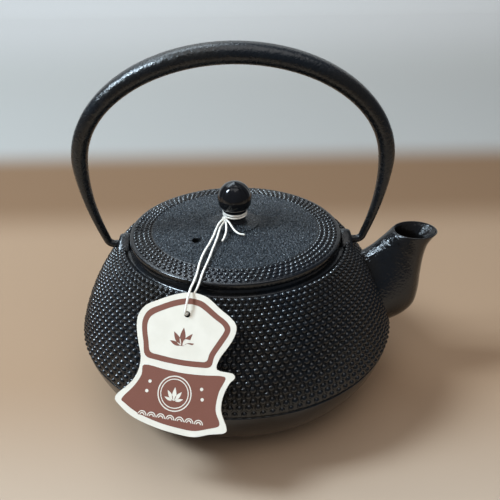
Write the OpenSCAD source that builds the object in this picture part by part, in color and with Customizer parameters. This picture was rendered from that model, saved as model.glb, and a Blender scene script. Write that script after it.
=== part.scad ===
// Cast iron teapot with a bail handle, a lift-off lid, a strainer and a hang tag.
// Millimetres. The origin is the centre of the base, +Z is up and the spout points along +X.

/* [Pot] */
// Largest radius of the pot, at the belly
belly_r = 75; // [73:0.5:78]
// Height of the belly's widest line
belly_z = 32; // [31:0.5:33]
// Radius of the curve that rounds the belly over
belly_round = 20; // [17:0.5:23]
// Angle through which the belly curve turns before the shoulder starts
belly_turn = 15; // [14:0.5:16]
// Radius of the shoulder curve
shoulder_round = 92; // [88:1:96]
// Radius of the curve from the belly down to the base
under_round = 41.4; // [40.6:0.2:42.4]
// Angle at which the underside turns in sharply at the belly
under_turn = 11.5; // [10:0.5:13]
// Height of the collar's top, where the lid rests
collar_z = 78; // [76.5:0.5:79]
// Height of the collar itself
collar_h = 2.6; // [2:0.2:3.2]
// How far the collar stands in from the shoulder's edge
collar_set = 4.6; // [4:0.1:5.2]
// Width of the collar's top, from its outer edge to the mouth
collar_w = 7.2; // [6.8:0.1:8]
// Thickness of the iron wall
wall = 3.4; // [2.6:0.1:4]
// Thickness of the base
base_t = 4; // [3:0.2:5]

/* [Spout] */
// How far the middle of the spout's mouth stands out from the belly
spout_reach = 10.3; // [8.3:0.5:12.3]
// Height of the spout's mouth
spout_z = 79; // [77:0.5:82]
// Half width of the spout's mouth along X
mouth_rx = 10.5; // [9:0.1:11.5]
// Half width of the spout's mouth along Y
mouth_ry = 9.4; // [8.4:0.1:10.4]
// Thickness of the spout's wall
spout_wall = 2.4; // [1.8:0.1:3]
// Thickness of the lip that the spout's wall thins to
lip_t = 1.2; // [0.8:0.1:1.8]

/* [Handle] */
// Height of the two ears' holes
pivot_z = 74.8; // [74.2:0.1:75.4]
// Height of the handle's arch above its pivots, to the middle of the bar
arch_h = 88.5; // [82:0.5:95]
// How far the arch at its widest stands out beyond the ears, to the middle of the bar
arch_out = 13; // [12:0.1:14.6]
// Height above the pivots at which the arch is widest
waist_h = 40.2; // [36:0.2:44]
// Width of the bar at the top of the arch
bar_w = 13; // [10:0.5:16]
// Thickness of the bar at the top of the arch
bar_t = 9.2; // [7.8:0.1:10.4]
// Diameter of the hooked ends
hook_d = 3.6; // [3:0.1:4]
// Radial clearance of a hooked end in its ear
hook_gap = 0.1; // [0.05:0.01:0.1]
// How far an ear's outer face stands out from the shoulder at the pivots
ear_out = 1.5; // [1.2:0.1:2]
// Height of an ear's top above the pivots
ear_top = 4.8; // [4.4:0.1:5.6]
// Half width of an ear along Y
ear_w = 8.2; // [7.2:0.1:9]
// Gap between an ear and the lid's edge
lid_clear = 0.3; // [0.2:0.1:0.6]
// How deep a hooked end reaches into its ear
hook_depth = 3.2; // [2.8:0.1:3.6]

/* [Lid] */
// How far the lid's edge reaches out over the collar
lid_over = 0.5; // [0.2:0.1:0.9]
// Thickness of the lid
lid_t = 2.8; // [2.2:0.1:3.2]
// Rise of the lid's dome at its middle
lid_rise = 4.1; // [3.3:0.1:4.9]
// Gap between the lid and the collar
lid_gap = 0.1; // [0.05:0.05:0.3]
// Depth of the ring under the lid that keeps it centred
ring_h = 6; // [4:0.5:8]
// Thickness of that ring
ring_t = 2; // [1.5:0.1:2.5]
// Diameter of the steam hole
vent_d = 4.3; // [3:0.1:6]
// Distance of the steam hole from the lid's middle
vent_r = 23.6; // [20:0.2:27]

/* [Knob] */
// Largest radius of the knob
knob_r = 7.9; // [7:0.1:8.8]
// Height of the knob from its foot to its tip
knob_h = 19.6; // [17:0.2:22]
// Radius of the knob's neck
neck_r = 4.8; // [4:0.1:5.4]
// Radius of the round plate under the knob
plate_r = 11.3; // [9.5:0.1:13]
// Thickness of the plate
plate_t = 1; // [0.6:0.1:1.6]
// Diameter of the knob's shank
shank_d = 4; // [3:0.1:5]
// Radial clearance of the shank in the lid
shank_gap = 0.1; // [0.05:0.01:0.1]
// Radius of the shank's peened head under the lid
head_r = 4.2; // [3.6:0.1:4.8]
// Thickness of the washer that the head is peened over
washer_t = 0.8; // [0.5:0.1:1.2]

/* [Strainer] */
// Radial gap between the strainer and what is round it
strainer_gap = 0.4; // [0.3:0.05:0.6]
// Depth of the seat cut for the strainer's rim below the collar's top
seat_h = 1.6; // [1.4:0.1:2]
// Width of that seat
seat_w = 2.8; // [2.2:0.1:3.2]
// Thickness of the strainer's rim
rim_t = 1.1; // [0.8:0.1:1.2]
// Thickness of the mesh wall
mesh_t = 0.6; // [0.5:0.1:0.8]
// Depth of the strainer below its rim
strainer_h = 44; // [36:1:48]

/* [Tag] */
// Direction of the tag from the pot's axis, in degrees from the spout
tag_turn = -106; // [-112:1:-100]
// Lean of the tag back from upright
tag_lean = 34; // [32:1:36]
// Gap between the tag and the shoulder that it leans on
tag_gap = 2; // [1.8:0.1:2.2]
// Thickness of the card
tag_t = 0.6; // [0.4:0.1:0.8]
// Diameter of the tag's hole
tag_hole_d = 2.6; // [2.2:0.1:3]
// Diameter of the string
string_d = 1; // [0.8:0.1:1.2]

/* [Hidden] */
$fn = 96;

iron = [0.09, 0.10, 0.11];
steel = [0.62, 0.63, 0.65];
cream = [0.94, 0.92, 0.86];
cotton = [0.93, 0.92, 0.89];

// Points along an arc about [r, z] from one angle to another
function arc(c, r, from, to, n) =
  [for (i = [0:n]) c + r * [cos(from + (to - from) * i / n), sin(from + (to - from) * i / n)]];

// The pot's outline: three arcs that meet smoothly, in the [radius, height] plane
belly_c = [belly_r - belly_round, belly_z];
shoulder_c = belly_c + (belly_round - shoulder_round) * [cos(belly_turn), sin(belly_turn)];
under_c = [belly_r - under_round * cos(under_turn), belly_z + under_round * sin(under_turn)];
collar_foot_z = collar_z - collar_h;
shoulder_end = asin((collar_foot_z - shoulder_c[1]) / shoulder_round);

// Radius of the shoulder at a height
function shoulder_x(z) = shoulder_c[0] + sqrt(pow(shoulder_round, 2) - pow(z - shoulder_c[1], 2));

collar_r = shoulder_x(collar_foot_z) - collar_set;
mouth_r = collar_r - collar_w;
lid_r = collar_r + lid_over;

// Angle at which the under curve, moved in by a wall's thickness, meets the base
function under_start(in) = -asin((under_c[1] - (in > 0 ? base_t : 0)) / (under_round - in));

// The outline from the base's edge to the collar's foot, moved in by a wall's thickness;
// inside, the under curve stops a little early so that it doesn't cross the belly's
function pot_side(in) = concat(
  arc(under_c, under_round - in, under_start(in), -under_turn - (in > 0 ? 2 : 0), 20),
  arc(belly_c, belly_round - in, 0, belly_turn, 4),
  arc(shoulder_c, shoulder_round - in, belly_turn, shoulder_end, 16)
);

module pot_solid() {
  rotate_extrude()
    polygon(concat(
      [[0, 0]],
      pot_side(0),
      [[collar_r, collar_foot_z + 1], [collar_r, collar_z], [0, collar_z]]
    ));
}

module pot_inside() {
  rotate_extrude()
    polygon(concat(
      [[0, base_t]],
      pot_side(wall),
      [[mouth_r, collar_foot_z - wall], [mouth_r, collar_z + 1], [0, collar_z + 1]]
    ));
}

port_r = 9;
port_z = 52;

module pot() {
  color(iron)
    difference() {
      pot_solid();
      pot_inside();
      translate([0, 0, collar_z - seat_h]) cylinder(r = mouth_r + seat_w, h = seat_h + 1);
      translate([mouth_r, 0, port_z]) rotate([0, 90, 0]) cylinder(r = port_r, h = belly_r);
      for (side = [-1, 1]) hook_bore(side);
    }
}

// The blind hole that an ear and the collar share, for one hooked end of the handle
module hook_bore(side) {
  rotate([0, side * 90, 0])
    translate([-side * pivot_z, 0, hook_in - hook_end_gap])
      cylinder(r = hook_d / 2 + hook_gap, h = ear_x);
}

// The spout's sections, from inside the pot to the mouth: the upper edge's [x, z],
// the lower edge's [x, z], the half width and how much wider the lower half is
root_w = 13.6;
spout_x = belly_r + spout_reach;
spout_sections = [
  [[belly_r - 21, 63], [belly_r - 17, 32], root_w, 0.3],
  [[belly_r - 12.4, spout_z - 10.6], [belly_r, 31.6], root_w, 0.3],
  [[belly_r - 9, spout_z - 7.7], [belly_r + 7, 34.6], root_w - 0.4, 0.26],
  [[spout_x - 16.2, spout_z - 4.9], [spout_x + 2, spout_z - 39], root_w - 1, 0.2],
  [[spout_x - 14.1, spout_z - 3], [spout_x + 3.8, spout_z - 31], root_w - 1.8, 0.15],
  [[spout_x - 12.9, spout_z - 1.9], [spout_x + 4.2, spout_z - 22], mouth_ry + 1.3, 0.1],
  [[spout_x - 12, spout_z - 1.2], [spout_x + 4.8, spout_z - 13.5], mouth_ry + 0.6, 0.05],
  [[spout_x - 11.4, spout_z - 0.7], [spout_x + 6.2, spout_z - 7], mouth_ry, 0],
  [[spout_x - 10.9, spout_z - 0.3], [spout_x + 8.4, spout_z - 3], mouth_ry - 0.1, 0],
  [[spout_x - mouth_rx, spout_z], [spout_x + mouth_rx, spout_z], mouth_ry, 0]
];

// The n corners of a section, moved in by a wall's thickness and up by rise
function spout_ring(s, in, n, rise = 0) =
  let (mid = (s[0] + s[1]) / 2, half = (s[0] - s[1]) / 2, reach = half * (1 - in / norm(half)))
  [for (i = [0:n - 1])
    let (t = 360 * i / n, y = -(s[2] - in) * sin(t) * (1 - s[3] * cos(t)))
    [mid[0] + reach[0] * cos(t), y, mid[1] + reach[1] * cos(t) + rise]];

// One closed skin over rings of n points each
module skin(rings, n) {
  last = len(rings) - 1;
  polyhedron(
    points = [for (r = rings) for (p = r) p],
    faces = concat(
      [[for (i = [0:n - 1]) i]],
      [for (k = [0:last - 1]) for (i = [0:n - 1])
        let (a = k * n + i, b = k * n + (i + 1) % n) each [[a, a + n, b], [b, a + n, b + n]]],
      [[for (i = [n - 1:-1:0]) last * n + i]]
    )
  );
}

spout_sides = 24;
lip_over = 1;

module spout() {
  mouth = spout_sections[len(spout_sections) - 1];
  color(iron)
    difference() {
      skin([for (s = spout_sections) spout_ring(s, 0, spout_sides)], spout_sides);
      skin(concat(
        [for (s = spout_sections) if (s != mouth) spout_ring(s, spout_wall, spout_sides)],
        [for (rise = [0, lip_over]) spout_ring(mouth, lip_t, spout_sides, rise)]
      ), spout_sides);
      pot_solid();
    }
}

// An ear: a rounded lug with a hole along X for the handle's hooked end
ear_x = shoulder_x(pivot_z) + ear_out;
ear_in = lid_r + lid_clear;
ear_round = 2;
hook_end_gap = 0.4;
hook_in = ear_x - hook_depth;
hook_out = ear_x + 1.6;

module ear(side) {
  color(iron)
    difference() {
      hull() {
        for (y = [-1, 1])
          translate([side > 0 ? ear_in : -ear_x, y * (ear_w - ear_round) - ear_round, pivot_z - 12])
            cube([ear_x - ear_in, 2 * ear_round, 12]);
        translate([side > 0 ? ear_in : -ear_x, 0, pivot_z + ear_top - 5])
          rotate([0, 90, 0]) cylinder(r = 5, h = ear_x - ear_in, $fn = 32);
      }
      hook_bore(side);
      pot_solid();
    }
}

module ear_left() { ear(-1); }
module ear_right() { ear(1); }

// Lid: a shallow dome with a ring below it
lid_z = collar_z + lid_gap;
edge_z = lid_z + lid_t;
dome_r = (lid_r * lid_r + lid_rise * lid_rise) / (2 * lid_rise);
dome_z = edge_z + lid_rise - dome_r;
top_z = edge_z + lid_rise;
ring_r = mouth_r - 2 * strainer_gap - mesh_t;
edge_round = 0.6;
vent_turn = 222;

function dome(z_drop) =
  [for (i = [0:10]) let (r = (lid_r - edge_round) * (1 - i / 10))
    [r, dome_z + sqrt(dome_r * dome_r - r * r) - z_drop]];

module lid() {
  color(iron)
    difference() {
      union() {
        rotate_extrude(convexity = 4)
          polygon(concat(
            [[ring_r, lid_z], [lid_r, lid_z], [lid_r, edge_z - edge_round]],
            dome(0),
            [[0, top_z - lid_t]],
            [for (i = [1:6]) let (r = ring_r * i / 6) [r, dome_z + sqrt(dome_r * dome_r - r * r) - lid_t]]
          ));
        translate([0, 0, lid_z - ring_h])
          difference() {
            cylinder(r = ring_r, h = ring_h + 1);
            translate([0, 0, -1]) cylinder(r = ring_r - ring_t, h = ring_h + 3);
          }
      }
      // Flat seat for the knob's plate
      translate([0, 0, plate_z]) cylinder(r = plate_r, h = 2);
      translate([0, 0, lid_z]) cylinder(r = shank_d / 2 + shank_gap, h = lid_t + lid_rise + 2);
      rotate(vent_turn) translate([vent_r, 0, lid_z]) cylinder(d = vent_d, h = lid_t + lid_rise + 2);
    }
}

// Knob: a bud on a short neck, standing on a thin round plate
plate_z = top_z - 0.1;
knob_z = plate_z + plate_t;
neck_h = 4.6;
flare_r = 5.6;
bud_c = [0, knob_z + neck_h + 6.6];
shank_in = 6;
under_z = top_z - lid_t;
washer_gap = 0.2;
head_h = 1.6;

module knob() {
  bud_top = knob_z + knob_h;
  color(iron)
    difference() {
      rotate_extrude()
        polygon(concat(
          [[0, knob_z], [flare_r, knob_z], [flare_r, knob_z + 0.5], [neck_r, knob_z + 1.4]],
          [[neck_r, knob_z + neck_h]],
          [for (a = [-40:10:60]) bud_c + [knob_r * cos(a), (a < 0 ? 6.6 : 8.4) * sin(a)]],
          [[2.2, bud_top - 0.7], [0.9, bud_top - 0.1], [0, bud_top]]
        ));
      translate([0, 0, knob_z - 1]) cylinder(d = shank_d, h = shank_in + 1);
    }
}

module knob_plate() {
  color(iron)
    translate([0, 0, plate_z])
      difference() {
        cylinder(r1 = plate_r, r2 = plate_r - 0.5, h = plate_t);
        translate([0, 0, -1]) cylinder(r = shank_d / 2 + shank_gap, h = plate_t + 2);
      }
}

module shank_washer() {
  color(steel)
    translate([0, 0, under_z - washer_gap - washer_t])
      difference() {
        cylinder(r = head_r + 1.6, h = washer_t);
        translate([0, 0, -1]) cylinder(r = shank_d / 2 + shank_gap, h = washer_t + 2);
      }
}

module knob_shank() {
  head_z = under_z - 2 * washer_gap - washer_t - head_h;
  color(steel) {
    translate([0, 0, head_z]) cylinder(r1 = head_r - 1, r2 = head_r, h = head_h);
    translate([0, 0, head_z + head_h]) cylinder(d = shank_d, h = knob_z + shank_in - head_z - head_h);
  }
}

// Handle: one bar swept along a curve in the plane y = 0, from one hooked end to the other.
// Its legs lean out along a power curve and its arch is half an ellipse.
arch_w = ear_x + arch_out;
leg_bend = 3.6;
leg_foot = ear_x + 3.9;
leg_power = 1.9;
leg_steps = 7;
arch_steps = 14;

function leg_x(z) = arch_w - (arch_w - leg_foot) * pow(1 - z / waist_h, leg_power);

// Thickness and width of the bar at a height above the pivots
function bar_size(z) =
  let (low = min(1, z / waist_h), high = max(0, (z - waist_h) / (arch_h - waist_h)))
  [hook_d + (bar_t * 0.76 - hook_d) * pow(low, leg_power) + bar_t * 0.24 * pow(high, 0.8),
   hook_d + (bar_w * 0.72 - hook_d) * low + bar_w * 0.28 * sin(90 * high)];

// The bar starts inside its round hooked end, thinner than it, and turns up round the bend.
half_handle = concat(
  [for (x = [hook_out - 1.2, hook_out]) [x, 0, hook_d - 0.5, hook_d - 0.5]],
  [for (a = [-60, -30])
    [hook_out + leg_bend * cos(a), leg_bend * (1 + sin(a)), hook_d, hook_d]],
  [for (i = [0:leg_steps - 1])
    let (z = leg_bend + 0.6 + (waist_h - leg_bend - 0.6) * i / leg_steps, size = bar_size(z))
    [leg_x(z), z, size[0], size[1]]],
  [for (i = [0:arch_steps - 1])
    let (a = 90 * i / arch_steps, z = waist_h + (arch_h - waist_h) * sin(a), size = bar_size(z))
    [arch_w * cos(a), z, size[0], size[1]]]
);
stations = concat(
  half_handle,
  [[0, arch_h, bar_t, bar_w]],
  [for (i = [len(half_handle) - 1:-1:0]) let (s = half_handle[i]) [-s[0], s[1], s[2], s[3]]]
);

bar_sides = 16;

// A flattened section, a little flatter on the inside of the arch
function bar_ring(k) =
  let (
    s = stations[k],
    a = stations[max(k - 1, 0)],
    b = stations[min(k + 1, len(stations) - 1)],
    d = [b[0] - a[0], b[1] - a[1]] / norm([b[0] - a[0], b[1] - a[1]]),
    out = [d[1], -d[0]],
    flat = min(1, max(0, (s[3] - hook_d) / (bar_w - hook_d)))
  )
  [for (i = [0:bar_sides - 1])
    let (
      t = 360 * i / bar_sides,
      c = cos(t),
      w = sign(sin(t)) * pow(abs(sin(t)), 1 - 0.3 * flat),
      h = (c < 0 ? c * (1 - 0.06 * flat) : c)
    )
    [s[0] + out[0] * h * s[2] / 2, w * s[3] / 2, pivot_z + s[1] + out[1] * h * s[2] / 2]];

module handle() {
  color(iron)
    union() {
      skin([for (k = [0:len(stations) - 1]) bar_ring(k)], bar_sides);
      for (side = [-1, 1])
        translate([side * (hook_in + hook_out + 0.2) / 2, 0, pivot_z])
          rotate([0, 90, 0]) cylinder(d = hook_d, h = hook_out + 0.2 - hook_in, center = true, $fn = 48);
    }
}

// Strainer: a rolled rim on the mouth's seat, a mesh wall and a mesh base
strainer_seat = 0.05;
rim_z = collar_z - seat_h + strainer_seat;
wall_r = mouth_r - strainer_gap;

module strainer_rim() {
  color(steel)
    translate([0, 0, rim_z])
      difference() {
        cylinder(r = mouth_r + seat_w - strainer_gap, h = rim_t);
        translate([0, 0, -1]) cylinder(r = wall_r - mesh_t, h = rim_t + 2);
      }
}

module strainer_wall() {
  color(steel)
    translate([0, 0, rim_z - strainer_h])
      difference() {
        cylinder(r = wall_r, h = strainer_h);
        translate([0, 0, -1]) cylinder(r = wall_r - mesh_t, h = strainer_h + 2);
      }
}

module strainer_base() {
  color(steel)
    translate([0, 0, rim_z - strainer_h]) cylinder(r = wall_r - mesh_t, h = mesh_t);
}

// Tag: a die-cut card that leans on the shoulder, drawn flat from its foot point
tag_hole = [-3.8, 6.8];
tag_outline = [
  [-5, 15.6], [-11, 13.8], [-17, 11], [-22, 8.2], [-24.6, 4], [-24.6, -1], [-23, -7],
  [-21, -13], [-21.4, -19], [-24, -24], [-29.6, -30.4], [-26.6, -34], [-20, -37.6],
  [-10, -40], [-1, -41], [6, -41], [12, -39], [18, -37.4], [18.4, -35], [15.4, -29],
  [15.6, -23], [17.4, -18], [19.2, -15.6], [18, -14], [11.6, -13.4], [12, -9],
  [15, -3.6], [17, 1], [17, 5], [14, 8], [10, 10.4], [4, 14.4], [-0.5, 15.6]
];

tag_foot_r = shoulder_c[0] + shoulder_round * cos(tag_lean) + tag_gap * cos(tag_lean);
tag_foot_z = shoulder_c[1] + shoulder_round * sin(tag_lean) + tag_gap * sin(tag_lean);

module on_tag() {
  rotate(tag_turn)
    translate([tag_foot_r, 0, tag_foot_z])
      rotate([0, 90 - tag_lean, 0])
        rotate(90) children();
}

module tag_card() {
  color(cream)
    on_tag()
      difference() {
        linear_extrude(tag_t) polygon(tag_outline);
        translate([tag_hole[0], tag_hole[1], -1]) cylinder(d = tag_hole_d, h = tag_t + 2, $fn = 32);
      }
}

// String: one loop through the tag's hole, two turns round the knob's neck, a knot and two tails.
// Routes are points that the string's middle line passes through.
loop_route = [
  [-5.5, -5, 89], [-6.6, -6.4, 88.6], [-7.7, -8.6, 88.1], [-8.5, -11.2, 87.6], [-9.1, -13.6, 87.1],
  [-9.8, -16.4, 86.6], [-10.7, -19.2, 86.1], [-11.6, -22, 85.6], [-12.7, -25, 85.1],
  [-13.7, -28, 84.7], [-14.5, -31, 84.3], [-15.1, -34, 84], [-15.6, -37, 83.7], [-16, -40, 83.3],
  [-16.4, -43, 82.9], [-17, -46, 82.4], [-17.7, -48.8, 81.9], [-18.5, -51.2, 81.3],
  [-19.2, -53.4, 80.1], [-19.8, -55, 78.4], [-20.4, -56.4, 76.4], [-20.8, -57.2, 74.4],
  [-21, -57.4, 73.2], [-20.8, -56.9, 72], [-20.4, -55.8, 71.3], [-20.1, -54.7, 71.6],
  [-19.7, -53.8, 72.6], [-19.2, -53, 74], [-18.5, -52.2, 76], [-17.4, -51.2, 78.2],
  [-16.3, -50.8, 80.1], [-15.5, -49.9, 81.6], [-15, -47.8, 82.2], [-14.5, -45.2, 82.5],
  [-13.9, -42, 82.9], [-13.1, -39, 83.4], [-12.3, -36, 83.8], [-11.6, -33, 84.1],
  [-10.9, -30, 84.5], [-10.3, -27, 84.9], [-9.6, -24, 85.3], [-8.9, -21, 85.7],
  [-8.3, -18, 86], [-7.8, -15, 86.3], [-7.3, -12, 86.7], [-6.9, -9.6, 87], [-6.1, -7.4, 87.4],
  [-5.1, -5.4, 87.9]
];
long_route = [
  [-4.3, -6.1, 88.2], [-4.1, -8.8, 87.8], [-4.1, -11.6, 87.1], [-4.4, -14.4, 86.4],
  [-5, -17, 85.8], [-5.9, -19.2, 85.3]
];
short_route = [
  [-4.2, -6.2, 89.3], [-2.8, -8.2, 88.9], [-1.6, -10.6, 88], [-0.3, -12.8, 87],
  [1.5, -14.2, 86.2], [4, -14.7, 85.8]
];
string_sides = 8;

function along(p, k) = let (d = p[min(k + 1, len(p) - 1)] - p[max(k - 1, 0)]) d / norm(d);

// Rings about each point of a route, square to it, with their first corner kept to one side
function route_rings(p, r) =
  [for (k = [0:len(p) - 1])
    let (d = along(p, k), u = cross(d, [1, 0.3, 0.2]) / norm(cross(d, [1, 0.3, 0.2])), v = cross(d, u))
    [for (i = [0:string_sides - 1])
      p[k] + r * (cos(-360 * i / string_sides) * u + sin(-360 * i / string_sides) * v)]];

module string_along(p) {
  color(cotton) skin(route_rings(p, string_d / 2), string_sides);
}

module string_loop() { string_along(loop_route); }
module string_tail_long() { string_along(long_route); }
module string_tail_short() { string_along(short_route); }

turn_gap = 0.2;
turn_z = [2.2, 3.5];

module string_turns() {
  color(cotton)
    for (h = turn_z)
      translate([0, 0, knob_z + h])
        rotate_extrude()
          translate([neck_r + turn_gap + string_d / 2, 0]) circle(d = string_d, $fn = 16);
}

knot_c = [-4.6, -5.2, 2.9];
knot_size = [2.6, 2.4, 3.2];

module string_knot() {
  color(cotton)
    difference() {
      translate([knot_c[0], knot_c[1], knob_z + knot_c[2]])
        resize(knot_size) sphere(d = 3, $fn = 24);
      translate([0, 0, knob_z]) cylinder(r = neck_r + turn_gap + string_d + 0.05, h = neck_h);
    }
}

pot();
spout();
ear_left();
ear_right();
lid();
knob();
knob_plate();
knob_shank();
shank_washer();
handle();
strainer_rim();
strainer_wall();
strainer_base();
tag_card();
string_loop();
string_turns();
string_knot();
string_tail_long();
string_tail_short();
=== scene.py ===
"""Dresses the cast iron teapot in its fixed frame and lights it on a plain pale floor.

The teapot's sizes are in millimetres, and Skin.piece() and Tag.sheet() turn them into
metres. The studio's sizes are in metres.
"""

import logging
import math
import random
from dataclasses import dataclass
from enum import Enum
from functools import cached_property
from typing import Callable, Iterable, Optional, Sequence

import bmesh
import bpy
from mathutils import Matrix, Vector, noise


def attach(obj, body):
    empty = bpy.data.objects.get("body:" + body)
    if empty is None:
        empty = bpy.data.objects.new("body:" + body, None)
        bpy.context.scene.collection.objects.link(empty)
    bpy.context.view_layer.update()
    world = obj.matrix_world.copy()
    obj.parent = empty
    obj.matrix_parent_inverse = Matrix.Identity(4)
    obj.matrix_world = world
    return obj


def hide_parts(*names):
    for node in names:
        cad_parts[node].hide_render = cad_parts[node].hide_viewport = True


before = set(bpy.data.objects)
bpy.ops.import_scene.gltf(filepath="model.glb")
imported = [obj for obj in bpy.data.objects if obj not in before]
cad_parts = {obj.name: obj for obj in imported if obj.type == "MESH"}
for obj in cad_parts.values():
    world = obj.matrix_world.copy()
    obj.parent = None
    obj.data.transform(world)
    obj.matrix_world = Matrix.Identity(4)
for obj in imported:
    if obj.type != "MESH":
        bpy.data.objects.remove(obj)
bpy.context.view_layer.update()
LOG = logging.getLogger("teapot")

MM = 0.001
FULL = 2 * math.pi
UP = Vector((0, 0, 1))
POT_MIDDLE = (0, 0, 0.06)  # in metres, what the lamps face
Colour = tuple[float, float, float]
Flat = tuple[float, float]
Place = tuple[float, float, float]
Object = bpy.types.Object
Mesh = bpy.types.Mesh
Material = bpy.types.Material
Socket = bpy.types.NodeSocket


class Body(Enum):
    """The frame's bodies that the pieces ride on."""

    POT = "pot"
    LID = "lid"
    KNOB = "knob"
    HANDLE = "handle"
    STRAINER = "strainer"


class Slot(Enum):
    """The record's material slots."""

    IRON = "cast_iron"
    GLOSS = "glossy_iron"
    STEEL = "steel"
    CARD = "card"
    COTTON = "cotton"


class Crease(Enum):
    """Angles in degrees: the edges of a piece that bend by more stay sharp."""

    SHEET = 30
    BAR = 40
    CASTING = 50
    BUD = 60
    TWINE = 80


# ---------------------------------------------------------------- meshes


class Skin:
    """The points and faces of one mesh while it is being built, in millimetres."""

    def __init__(self) -> None:
        """Starts with no points."""
        self.points: list[Vector] = []
        self.faces: list[tuple[int, ...]] = []

    def add(self, points: Iterable[Vector]) -> list[int]:
        """Adds points.

        Args:
            points: The new points.

        Returns:
            Their numbers.
        """
        first = len(self.points)
        self.points.extend(points)
        return list(range(first, len(self.points)))

    def join(self, a: Sequence[int], b: Sequence[int]) -> None:
        """Fills the band between two closed rings of equal count with quads.

        Args:
            a: One ring's point numbers.
            b: The other ring's.
        """
        n = len(a)
        for i in range(n):
            j = (i + 1) % n
            self.faces.append((a[i], a[j], b[j], b[i]))

    def fan(self, ring: Sequence[int], tip: Vector) -> None:
        """Closes a ring with triangles to a tip.

        Args:
            ring: The ring's point numbers.
            tip: The tip's place.
        """
        top = self.add([tip])[0]
        for i in range(len(ring)):
            self.faces.append((ring[i], ring[(i + 1) % len(ring)], top))

    def sleeve(self, rings: Sequence[Sequence[int]], closed: bool = False) -> None:
        """Joins each ring to the next one.

        Args:
            rings: The rings' point numbers.
            closed: Whether the last ring is joined to the first.
        """
        for a, b in zip(rings, rings[1:]):
            self.join(a, b)
        if closed:
            self.join(rings[-1], rings[0])

    def turn(self, outline: Sequence[Flat], segments: int) -> list[list[int]]:
        """Turns an outline of (radius, height) points about Z.

        Args:
            outline: The points, none of them on the axis.
            segments: How many steps round the axis.

        Returns:
            The rings' point numbers, one ring for each outline point.
        """
        rings = [self.add(circle(r, z, segments)) for r, z in outline]
        self.sleeve(rings)
        return rings

    def piece(self, name: str, crease: Crease = Crease.BAR) -> Object:
        """Makes the Blender object.

        Args:
            name: The piece's name.
            crease: Which of its edges stay sharp.

        Returns:
            The new object, in metres.
        """
        mesh = bpy.data.meshes.new(name)
        mesh.from_pydata([p * MM for p in self.points], [], self.faces)
        return finished(name, mesh, crease)


def linked(name: str, data: bpy.types.ID) -> Object:
    """Makes an object of a mesh, an outline, a lamp or a camera.

    Args:
        name: The object's name.
        data: What it holds.

    Returns:
        The object, linked to the scene.
    """
    obj = bpy.data.objects.new(name, data)
    bpy.context.scene.collection.objects.link(obj)
    return obj


def shade_smooth(mesh: Mesh, crease: Crease) -> None:
    """Shades a mesh smooth, apart from its sharp edges."""
    mesh.polygons.foreach_set("use_smooth", [True] * len(mesh.polygons))
    mesh.set_sharp_from_angle(angle=math.radians(crease.value))


def mesh_of(obj: Object) -> Mesh:
    """A new mesh of an object's outlines or of its modifiers' result."""
    bpy.context.view_layer.update()
    return bpy.data.meshes.new_from_object(obj.evaluated_get(bpy.context.evaluated_depsgraph_get()))


def finished(name: str, mesh: Mesh, crease: Crease) -> Object:
    """Turns faces outwards, shades them smooth and makes an object of the mesh.

    Args:
        name: The piece's name.
        mesh: Its mesh, in metres.
        crease: Which of its edges stay sharp.

    Returns:
        The object, linked to the scene.
    """
    bm = bmesh.new()
    bm.from_mesh(mesh)
    bmesh.ops.recalc_face_normals(bm, faces=bm.faces)
    bm.to_mesh(mesh)
    bm.free()
    shade_smooth(mesh, crease)
    return linked(name, mesh)


def spoke(step: float, steps: int) -> Flat:
    """The cosine and sine of one of the equal steps of a full turn."""
    return math.cos(FULL * step / steps), math.sin(FULL * step / steps)


def aim(turn: float) -> Flat:
    """The cosine and sine of an angle in degrees."""
    return math.cos(math.radians(turn)), math.sin(math.radians(turn))


def circle(r: float, z: float, segments: int) -> list[Vector]:
    """Points round the Z axis, at a radius and a height."""
    return [Vector((r * c, r * s, z)) for c, s in (spoke(i, segments) for i in range(segments))]


def curve_through(points: Sequence[Sequence[float]], steps: int, closed: bool = False) -> list[Vector]:
    """A smooth line through points, by Catmull and Rom's rule.

    Args:
        points: The points, of any equal size.
        steps: How many stretches each gap is cut into.
        closed: Whether the line returns to its start.

    Returns:
        The line's points, the given ones among them.
    """
    p = [Vector(q) for q in points]
    n = len(p)
    out = []
    for i in range(n if closed else n - 1):
        if closed:
            a, b, c, d = p[i - 1], p[i], p[(i + 1) % n], p[(i + 2) % n]
        else:
            b, c = p[i], p[i + 1]
            a = p[i - 1] if i else b * 2 - c
            d = p[i + 2] if i + 2 < n else c * 2 - b
        for k in range(steps):
            t = k / steps
            square = (2 * a - 5 * b + 4 * c - d) * t**2
            cube = (3 * b - a - 3 * c + d) * t**3
            out.append(0.5 * (2 * b + (c - a) * t + square + cube))
    if not closed:
        out.append(p[-1])
    return out


def evenly(line: Sequence[Vector], gap: float, closed: bool = False) -> list[Vector]:
    """The same line with its points an even distance apart.

    Args:
        line: The line's points.
        gap: The distance wanted, in millimetres.
        closed: Whether the line returns to its start.

    Returns:
        The new points.
    """
    p = list(line) + ([line[0]] if closed else [])
    reach = [0.0]
    for a, b in zip(p, p[1:]):
        reach.append(reach[-1] + (b - a).length)
    count = max(2, round(reach[-1] / gap))
    out, k = [], 0
    for i in range(count + (0 if closed else 1)):
        want = reach[-1] * i / count
        while k < len(p) - 2 and reach[k + 1] < want:
            k += 1
        span = reach[k + 1] - reach[k]
        out.append(p[k].lerp(p[k + 1], (want - reach[k]) / span if span else 0))
    return out


def direction(line: Sequence[Vector], k: int, closed: bool) -> Vector:
    """The way that a line runs at one of its points.

    Args:
        line: The line's points.
        k: The point's number.
        closed: Whether the line returns to its start.

    Returns:
        The direction, of length 1.
    """
    a = line[k - 1] if closed or k else line[k]
    b = line[(k + 1) % len(line)] if closed or k + 1 < len(line) else line[k]
    return (b - a).normalized()


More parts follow.
